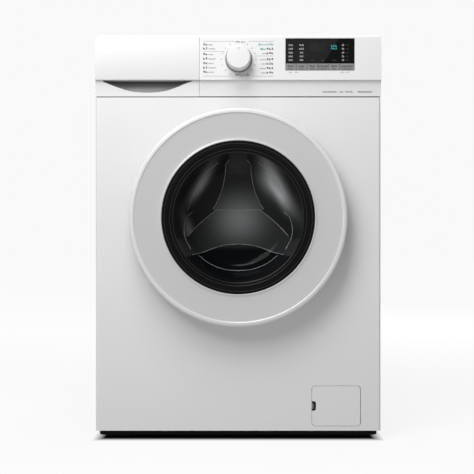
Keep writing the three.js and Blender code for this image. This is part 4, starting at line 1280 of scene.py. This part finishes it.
def makeBelt():
    # a flat belt with lengthwise ribs on its inner side
    low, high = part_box("drive_belt")
    big, small = beltLook["drumPulley"] * mm, beltLook["motorPulley"] * mm
    drop = axisHeight - beltLook["motorHeight"] * mm
    lean = math.asin((big - small) / drop)
    path = []
    bigSteps, smallSteps = beltLook["steps"]
    for i in range(bigSteps + 1):
        a = -lean + (math.pi + 2 * lean) * i / bigSteps
        path.append((math.cos(a), math.sin(a), 0.0, big))
    for i in range(smallSteps + 1):
        a = math.pi + lean + (math.pi - 2 * lean) * i / smallSteps
        path.append((math.cos(a), math.sin(a), -drop, small))
    section = []
    ribs = beltLook["ribs"]
    width = high.y - low.y
    for i in range(ribs):
        section.append((low.y + width * i / ribs, 0.9 * mm))
        section.append((low.y + width * (i + 0.5) / ribs, 0.1 * mm))
    section.append((high.y, 0.9 * mm))
    section += [(high.y, 3.6 * mm), (low.y, 3.6 * mm)]
    count = len(section)
    vertices = []
    for c, s, offset, radius in path:
        for y, rise in section:
            vertices.append((c * (radius + rise), y, axisHeight + offset + s * (radius + rise)))
    steps = len(path)
    faces = []
    for i in range(steps):
        here, there = i * count, (i + 1) % steps * count
        for k in range(count):
            n = (k + 1) % count
            faces.append((here + k, here + n, there + n, there + k))
    belt = newObject("drive_belt_ribbed", vertices, faces)
    outward(belt)
    smooth(belt, 20)
    place(belt, "wash_unit", paint["blackRubber"], "black_rubber", "drive_belt")


makeBelt()

springLook = {"turns": 17, "wire": 1.5, "radius": 9.3, "hook": 12, "stepsPerTurn": 14}  # in millimetres


def makeSprings():
    turns, stepsPerTurn = springLook["turns"], springLook["stepsPerTurn"]
    wire, radius, hook = [springLook[part] * mm for part in ("wire", "radius", "hook")]
    for side in ("left", "right"):
        node = side + "_spring"
        low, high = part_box(node)
        x, y = (low.x + high.x) / 2, (low.y + high.y) / 2
        path = [(x, y, low.z + wire), (x, y, low.z + hook * 0.6)]
        steps = turns * stepsPerTurn
        for i in range(steps + 1):
            turn = 2 * math.pi * turns * i / steps
            height = low.z + hook + (high.z - low.z - 2 * hook) * i / steps
            path.append((x + radius * math.cos(turn), y + radius * math.sin(turn), height))
        path += [(x, y, high.z - hook * 0.6), (x, y, high.z - wire)]
        coil = sweep(node + "_coil", path, wire, 7)
        coil.data.materials.append(paint["zinc"])
        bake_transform(coil)
        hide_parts(node)


makeSprings()

hoseLook = {"sump": 14, "dispenser": 16, "fill": 8, "drain": 10.5, "groove": 0.86}  # radii in millimetres


def corrugated(hose, pitch=3):
    # the hose's radius at a point of its path, with a groove at every third or second one
    return lambda i: hoseLook[hose] * mm * (1.0 if i % pitch else hoseLook["groove"])


def makeHoses():
    sump = throughPoints([
        (0.02, 0.02, 0.1795), (0.02, 0.02, 0.14), (0.04, -0.06, 0.092), (0.095, -0.15, 0.078),
        (0.125, -0.165, 0.078), (0.149, -0.165, 0.078)], 12)
    hose = sweep("sump_hose_bellows", sump, corrugated("sump"), 20)
    hose.data.materials.append(paint["blackRubber"])
    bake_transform(hose)
    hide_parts("sump_hose")
    dispenser = throughPoints([
        (-0.19, 0.01, 0.7415), (-0.19, 0.01, 0.733), (-0.176, 0.012, 0.712), (-0.168, 0.014, 0.6825)], 9)
    bellows = sweep("dispenser_hose", dispenser, corrugated("dispenser", 2), 20)
    bellows.data.materials.append(paint["blackRubber"])
    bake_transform(bellows)
    fill = throughPoints([
        (-0.215, 0.2355, 0.78), (-0.215, 0.2, 0.78), (-0.19, 0.11, 0.776), (-0.17, 0.06, 0.775),
        (-0.17, 0.031, 0.775)], 8)
    plain = sweep("fill_hose", fill, hoseLook["fill"] * mm, 14)
    place(plain, "cabinet", paint["greyRubber"], "grey_rubber")
    drain = throughPoints([
        (0.232, -0.1, 0.102), (0.25, -0.06, 0.125), (0.272, 0.1, 0.14), (0.272, 0.22, 0.19),
        (0.268, 0.243, 0.35), (0.262, 0.243, 0.6), (0.25, 0.243, 0.74), (0.235, 0.25, 0.785),
        (0.235, 0.2745, 0.785)], 14)
    ribbed = sweep("drain_hose", drain, corrugated("drain", 2), 16)
    place(ribbed, "cabinet", paint["greyRubber"], "grey_rubber")


makeHoses()
print("wash group made")

footLook = {  # in millimetres
    "pad": [(0, 0), (18.4, 0), (19.6, 0.9), (20, 2), (20, 4.6), (19.2, 6.2), (17.2, 8.8), (15, 10.6),
            (9, 11.2), (9, 11.6), (5, 11.6)],  # radius and height
    "threads": 13,
    "threadPitch": 2.4,
    "threadRadii": (5.0, 4.3),
    "height": 44,
}


def makeFeet():
    crest, root = footLook["threadRadii"]
    profile = list(footLook["pad"])
    for i in range(footLook["threads"]):
        z = 12.4 + i * footLook["threadPitch"]
        profile += [(crest, z), (root, z + footLook["threadPitch"] / 2)]
    profile += [(root, footLook["height"]), (0, footLook["height"])]
    for node in [name for name in nodes if name.startswith("foot_")]:
        low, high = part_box(node)
        x, y = (low.x + high.x) / 2, (low.y + high.y) / 2
        foot = upright(lathe(node + "_turned", profile, 40, 0, 0), x, y)
        place(foot, "levelling_" + node, paint["blackRubber"], "black_rubber", node)


makeFeet()

screwLook = {"Width": 3.6, "Depth": 2.0, "Facets": 20}  # head radius and height in millimetres


def makeScrews():
    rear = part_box("rear_panel")[1].y
    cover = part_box("rear_service_cover")
    coverRim = rear + 1.5 * mm
    facing = Vector((0, 1, 0))
    spots = []
    for x in (-0.288, 0.288):  # down both sides
        spots += [(x, rear, z) for z in (0.06, 0.25, 0.44, 0.63, 0.80)]
    spots += [(x, rear, 0.034) for x in (-0.14, 0.14)]  # along the bottom
    spots += [(x, rear, 0.81) for x in (-0.17, 0.05, 0.17)]  # along the top
    left, right = cover[0].x + 9 * mm, cover[1].x - 9 * mm
    bottom, top = cover[0].z + 9 * mm, cover[1].z - 9 * mm
    middle = (bottom + top) / 2
    heights = (bottom + 12 * mm, middle, top - 12 * mm)
    spots += [(x, coverRim, z) for x in (left, right) for z in heights]  # at the cover's edges
    spots += [(x, rear, 0.775) for x in (-0.248, -0.182)]  # beside the inlet
    places = [(Vector((x, y + screwLook["Depth"] / 2 * mm, z)), facing) for x, y, z in spots]
    screws = repeated("rear_screws", places, "screw", screwLook, paint["zinc"])
    place(screws, "cabinet", paint["zinc"], "zinc_steel")


makeScrews()

rearLook = {  # in millimetres
    "plugs": [(x, z) for x in (-215, 215) for z in (270, 560)],
    "outlet": (235, 785),
    "inlet": (-215, 780),
    "inletThreads": 10,
    "louvres": (2, 9),  # columns and rows
    "louvre": {"Width": 80, "Height": 7, "Depth": 1.2},
    "louvrePitch": 13,
}
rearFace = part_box("rear_panel")[1].y / mm


def makeTransitPlugs():
    profile = [
        (0, rearFace - 3), (9, rearFace - 3), (9, rearFace), (15, rearFace), (15, rearFace + 1.6),
        (13.6, rearFace + 2.6), (7, rearFace + 2.9), (6, rearFace + 1.4), (0, rearFace + 1.2)]
    plugs = [lathe("plug", profile, 48, x * mm, z * mm) for x, z in rearLook["plugs"]]
    caps = joined("transit_hole_plugs", plugs)
    smooth(caps, 30)
    place(caps, "cabinet", paint["tray"], "tray_grey_plastic")


def makeDrainOutlet():
    x, z = rearLook["outlet"]
    outlet = lathe("drain_outlet", [
        (9.2, rearFace - 6), (12.4, rearFace - 6), (12.4, rearFace), (15, rearFace + 0.4),
        (15, rearFace + 2.2), (11.6, rearFace + 3), (11.6, rearFace + 10.5), (10.6, rearFace + 11.2),
        (9.2, rearFace + 11.2)], 48, x * mm, z * mm)
    place(outlet, "cabinet", paint["tray"], "tray_grey_plastic")


def makeInletThread():
    x, z = rearLook["inlet"]
    profile = [(11, rearFace + 0.3), (15.6, rearFace + 0.3), (15.6, rearFace + 2.4), (13.1, rearFace + 2.6)]
    profile += [(13.1 - 0.7 * (i % 2), rearFace + 3.2 + i * 0.85) for i in range(rearLook["inletThreads"])]
    profile += [(12.4, rearFace + 11.8), (11, rearFace + 11.8)]
    thread = lathe("inlet_thread", profile, 48, x * mm, z * mm)
    place(thread, "cabinet", paint["tray"], "tray_grey_plastic")


def makeLouvres():
    # pressed out of the sheet, behind the motor
    columns, rows = rearLook["louvres"]
    places = []
    for column in range(columns):
        for row in range(rows):
            x = (column * 2 - 1) * 50 * mm
            point = Vector((x, rearFace * mm + 0.9 * mm, 0.115 + row * rearLook["louvrePitch"] * mm))
            places.append((point, Vector((0, 1, 0.45)).normalized()))
    louvres = repeated("rear_louvres", places, "block", rearLook["louvre"], paint["enamel"])
    place(louvres, "cabinet", paint["enamel"], "white_enamel")


def makePressureSwitch():
    switch = lathe("pressure_switch", [
        (0, 100), (24, 100), (24, 106), (20, 110), (20, 116), (8, 118), (0, 118)], 48, 0.0, 0.0)
    # against the right side panel, under the worktop
    switch.data.transform(Matrix.Translation((0.292, 0.15, 0.76)) @ Matrix.Rotation(math.radians(90), 4, "Z")
                          @ Matrix.Translation((0, -0.1, 0)))
    place(switch, "cabinet", paint["tray"], "tray_grey_plastic")


makeTransitPlugs()
makeDrainOutlet()
makeInletThread()
makeLouvres()
makePressureSwitch()


def arc(x, z, radius, start, end, steps=6):
    # points of an arc, from one angle to another in degrees
    turns = [math.radians(start + (end - start) * i / steps) for i in range(steps + 1)]
    return [(x + radius * math.cos(a), z + radius * math.sin(a)) for a in turns]


flapLook = {  # in millimetres
    "corner": 6.9,
    "notchCorner": 4.5,
    "notchReach": 8.4,
    "notchHalf": 10,
    "notchMiddle": 70.5,
    "edge": 0.5,
}


def makeFlap():
    low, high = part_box("filter_flap")
    left, right, bottom, top = low.x / mm, high.x / mm, low.z / mm, high.z / mm
    corner, notch = flapLook["corner"], flapLook["notchCorner"]
    reach, halfNotch, middle = flapLook["notchReach"], flapLook["notchHalf"], flapLook["notchMiddle"]
    outline = arc(left + corner, bottom + corner, corner, 180, 270)
    outline += arc(right - corner, bottom + corner, corner, 270, 360)
    outline += arc(right - corner, top - corner, corner, 0, 90)
    outline += arc(left + corner, top - corner, corner, 90, 180)
    outline += [(left, middle + halfNotch)]
    outline += arc(left + reach - notch, middle + halfNotch - notch, notch, 90, 0)
    outline += arc(left + reach - notch, middle - halfNotch + notch, notch, 0, -90)
    outline += [(left, middle - halfNotch)]
    faces = [[(x * mm, y, z * mm) for x, z in outline] for y in (low.y, high.y)]
    flap = loft("filter_flap_plate", faces)
    bevel = flap.modifiers.new("edge", "BEVEL")
    bevel.width = flapLook["edge"] * mm
    bevel.segments = 2
    bevel.limit_method = "ANGLE"
    bevel.angle_limit = math.radians(50)
    baked(flap)
    smooth(flap, 30)
    evenShading(flap)
    place(flap, "flap", paint["plastic"], "white_plastic", "filter_flap")


makeFlap()


def makeFrontDetails():
    # behind the flap's finger notch a dark plate, painted shade for the recess, and a grey catch; under the
    # fascia a dark strip behind the seam, painted shade in the gap
    recess = bars("notch_painted_shade", [(0.150, 0.166, 0.056, 0.086)], -0.2432, 0.0012)
    place(recess, "cabinet", paint["hole"], "black_plastic")
    catch = bars("notch_catch", [(0.1536, 0.1574, 0.0645, 0.0765)], -0.2440, 0.0010)
    place(catch, "cabinet", paint["keys"], "white_plastic")
    seamShade = bars("fascia_seam_shade", [(-0.2955, 0.2955, 0.7160, 0.7179)], -0.2435, 0.008)
    place(seamShade, "cabinet", paint["hole"], "black_rubber")


makeFrontDetails()
print("small parts made")

stageLook = {
    "background": 0.947,
    "ambient": 0.22,
    "floorHalf": 14,  # half the floor's side, in metres
    "floorGlow": 0.60,  # light that the floor gives to the machine
    "floorSeen": 0.27,  # added where the floor is seen directly, so that it meets the background
    "floorFar": 0.065,  # more of the same, far from the machine
    # the dark patch is a painted shadow of the machine on the floor
    "paintedShadowHalf": (0.290, 0.240),  # half sizes of the dark patch under the machine, in metres
    "contact": 0.008,  # softness of its edge
    "cameraDistance": 1.9,
    "cameraPlace": (-0.0026, 0.424),  # across and up
    "viewWidth": 0.991,  # width of the picture at the front panel, in metres
    "lights": (  # name, place, what it points at, size in metres and watts
        ("key", (-0.8, -1.45, 1.75), (0, -0.25, 0.45), 1.1, 27),
        ("top", (-0.2, -1.0, 2.1), (0, -0.2, 0.4), 0.7, 19),
        ("back", (1.3, 2.2, 1.8), (0, 0.2, 0.4), 1.6, 30),
    ),
}


def makeFloor():
    half = stageLook["floorHalf"]
    corners = [(-half, -half, 0), (half, -half, 0), (half, half, 0), (-half, half, 0)]
    floor = newObject("studio_floor", corners, [(0, 1, 2, 3)])
    material = surface("studio_floor_paint", {
        "color": grey(0.08), "rough": 0.9, "vary": 0.005, "specular": 0.0})
    shader = material.node_tree.nodes["Principled BSDF"]
    shader.inputs["Emission Color"].default_value = (1, 1, 1, 1)
    add, link = material.node_tree.nodes.new, material.node_tree.links.new

    def maths(operation, *values):
        node = add("ShaderNodeMath")
        node.operation = operation
        for socket, value in zip(node.inputs, values):
            if isinstance(value, (int, float)):
                socket.default_value = value
            else:
                link(value, socket)
        return node.outputs[0]

    where = add("ShaderNodeSeparateXYZ")
    link(add("ShaderNodeTexCoord").outputs["Object"], where.inputs[0])
    # a painted shadow: the floor is dark under the machine and for a few millimetres round it
    halfX, halfY = stageLook["paintedShadowHalf"]
    beyondX = maths("SUBTRACT", maths("ABSOLUTE", where.outputs["X"]), halfX)
    beyondY = maths("SUBTRACT", maths("ABSOLUTE", where.outputs["Y"]), halfY)
    beyond = maths("MAXIMUM", beyondX, beyondY)
    # the lamps reach less of the far floor, so it glows a little more
    far = maths("MINIMUM", maths("MAXIMUM", maths("MULTIPLY", beyond, 0.04), 0.0), stageLook["floorFar"])
    seen = maths("ADD", far, stageLook["floorSeen"])
    direct = add("ShaderNodeLightPath").outputs["Is Camera Ray"]
    glow = maths("MULTIPLY_ADD", direct, seen, stageLook["floorGlow"])
    edge = stageLook["contact"]
    opened = maths("MULTIPLY", maths("ADD", beyond, edge), 1 / (3 * edge))
    lit = maths("MINIMUM", maths("MAXIMUM", opened, 0.0), 1.0)
    link(maths("MULTIPLY", glow, lit), shader.inputs["Emission Strength"])
    floor.data.materials.append(material)


def makeWorld():
    # one strength lights the machine, another is what the camera sees
    world = bpy.data.worlds.new("studio")
    bpy.context.scene.world = world
    world.use_nodes = True
    tree = world.node_tree
    light = tree.nodes["Background"]
    light.inputs["Color"].default_value = (1, 1, 1, 1)
    light.inputs["Strength"].default_value = stageLook["ambient"]
    seen = tree.nodes.new("ShaderNodeBackground")
    seen.inputs["Color"].default_value = (1, 1, 1, 1)
    seen.inputs["Strength"].default_value = stageLook["background"]
    path = tree.nodes.new("ShaderNodeLightPath")
    mix = tree.nodes.new("ShaderNodeMixShader")
    tree.links.new(path.outputs["Is Camera Ray"], mix.inputs["Fac"])
    tree.links.new(light.outputs[0], mix.inputs[1])
    tree.links.new(seen.outputs[0], mix.inputs[2])
    tree.links.new(mix.outputs[0], tree.nodes["World Output"].inputs["Surface"])


def makeLight(name, spot, target, size, power):
    lamp = bpy.data.lights.new(name, "AREA")
    lamp.shape = "RECTANGLE"
    lamp.size, lamp.size_y = size, size
    lamp.energy = power
    holder = bpy.data.objects.new(name, lamp)
    bpy.context.scene.collection.objects.link(holder)
    holder.location = spot
    holder.rotation_euler = (Vector(target) - Vector(spot)).to_track_quat("-Z", "Y").to_euler()


def makeCamera():
    camera = bpy.data.cameras.new("camera")
    holder = bpy.data.objects.new("camera", camera)
    bpy.context.scene.collection.objects.link(holder)
    camera.sensor_width = 36
    camera.lens = camera.sensor_width * stageLook["cameraDistance"] / stageLook["viewWidth"]
    x, z = stageLook["cameraPlace"]
    holder.location = (x, panelFace - stageLook["cameraDistance"], z)
    holder.rotation_euler = (math.radians(90), 0, 0)
    camera.clip_end = 60
    bpy.context.scene.camera = holder


makeFloor()
makeWorld()
for light in stageLook["lights"]:
    makeLight(*light)
makeCamera()
bpy.context.scene.view_settings.view_transform = "Standard"
print("stage made")
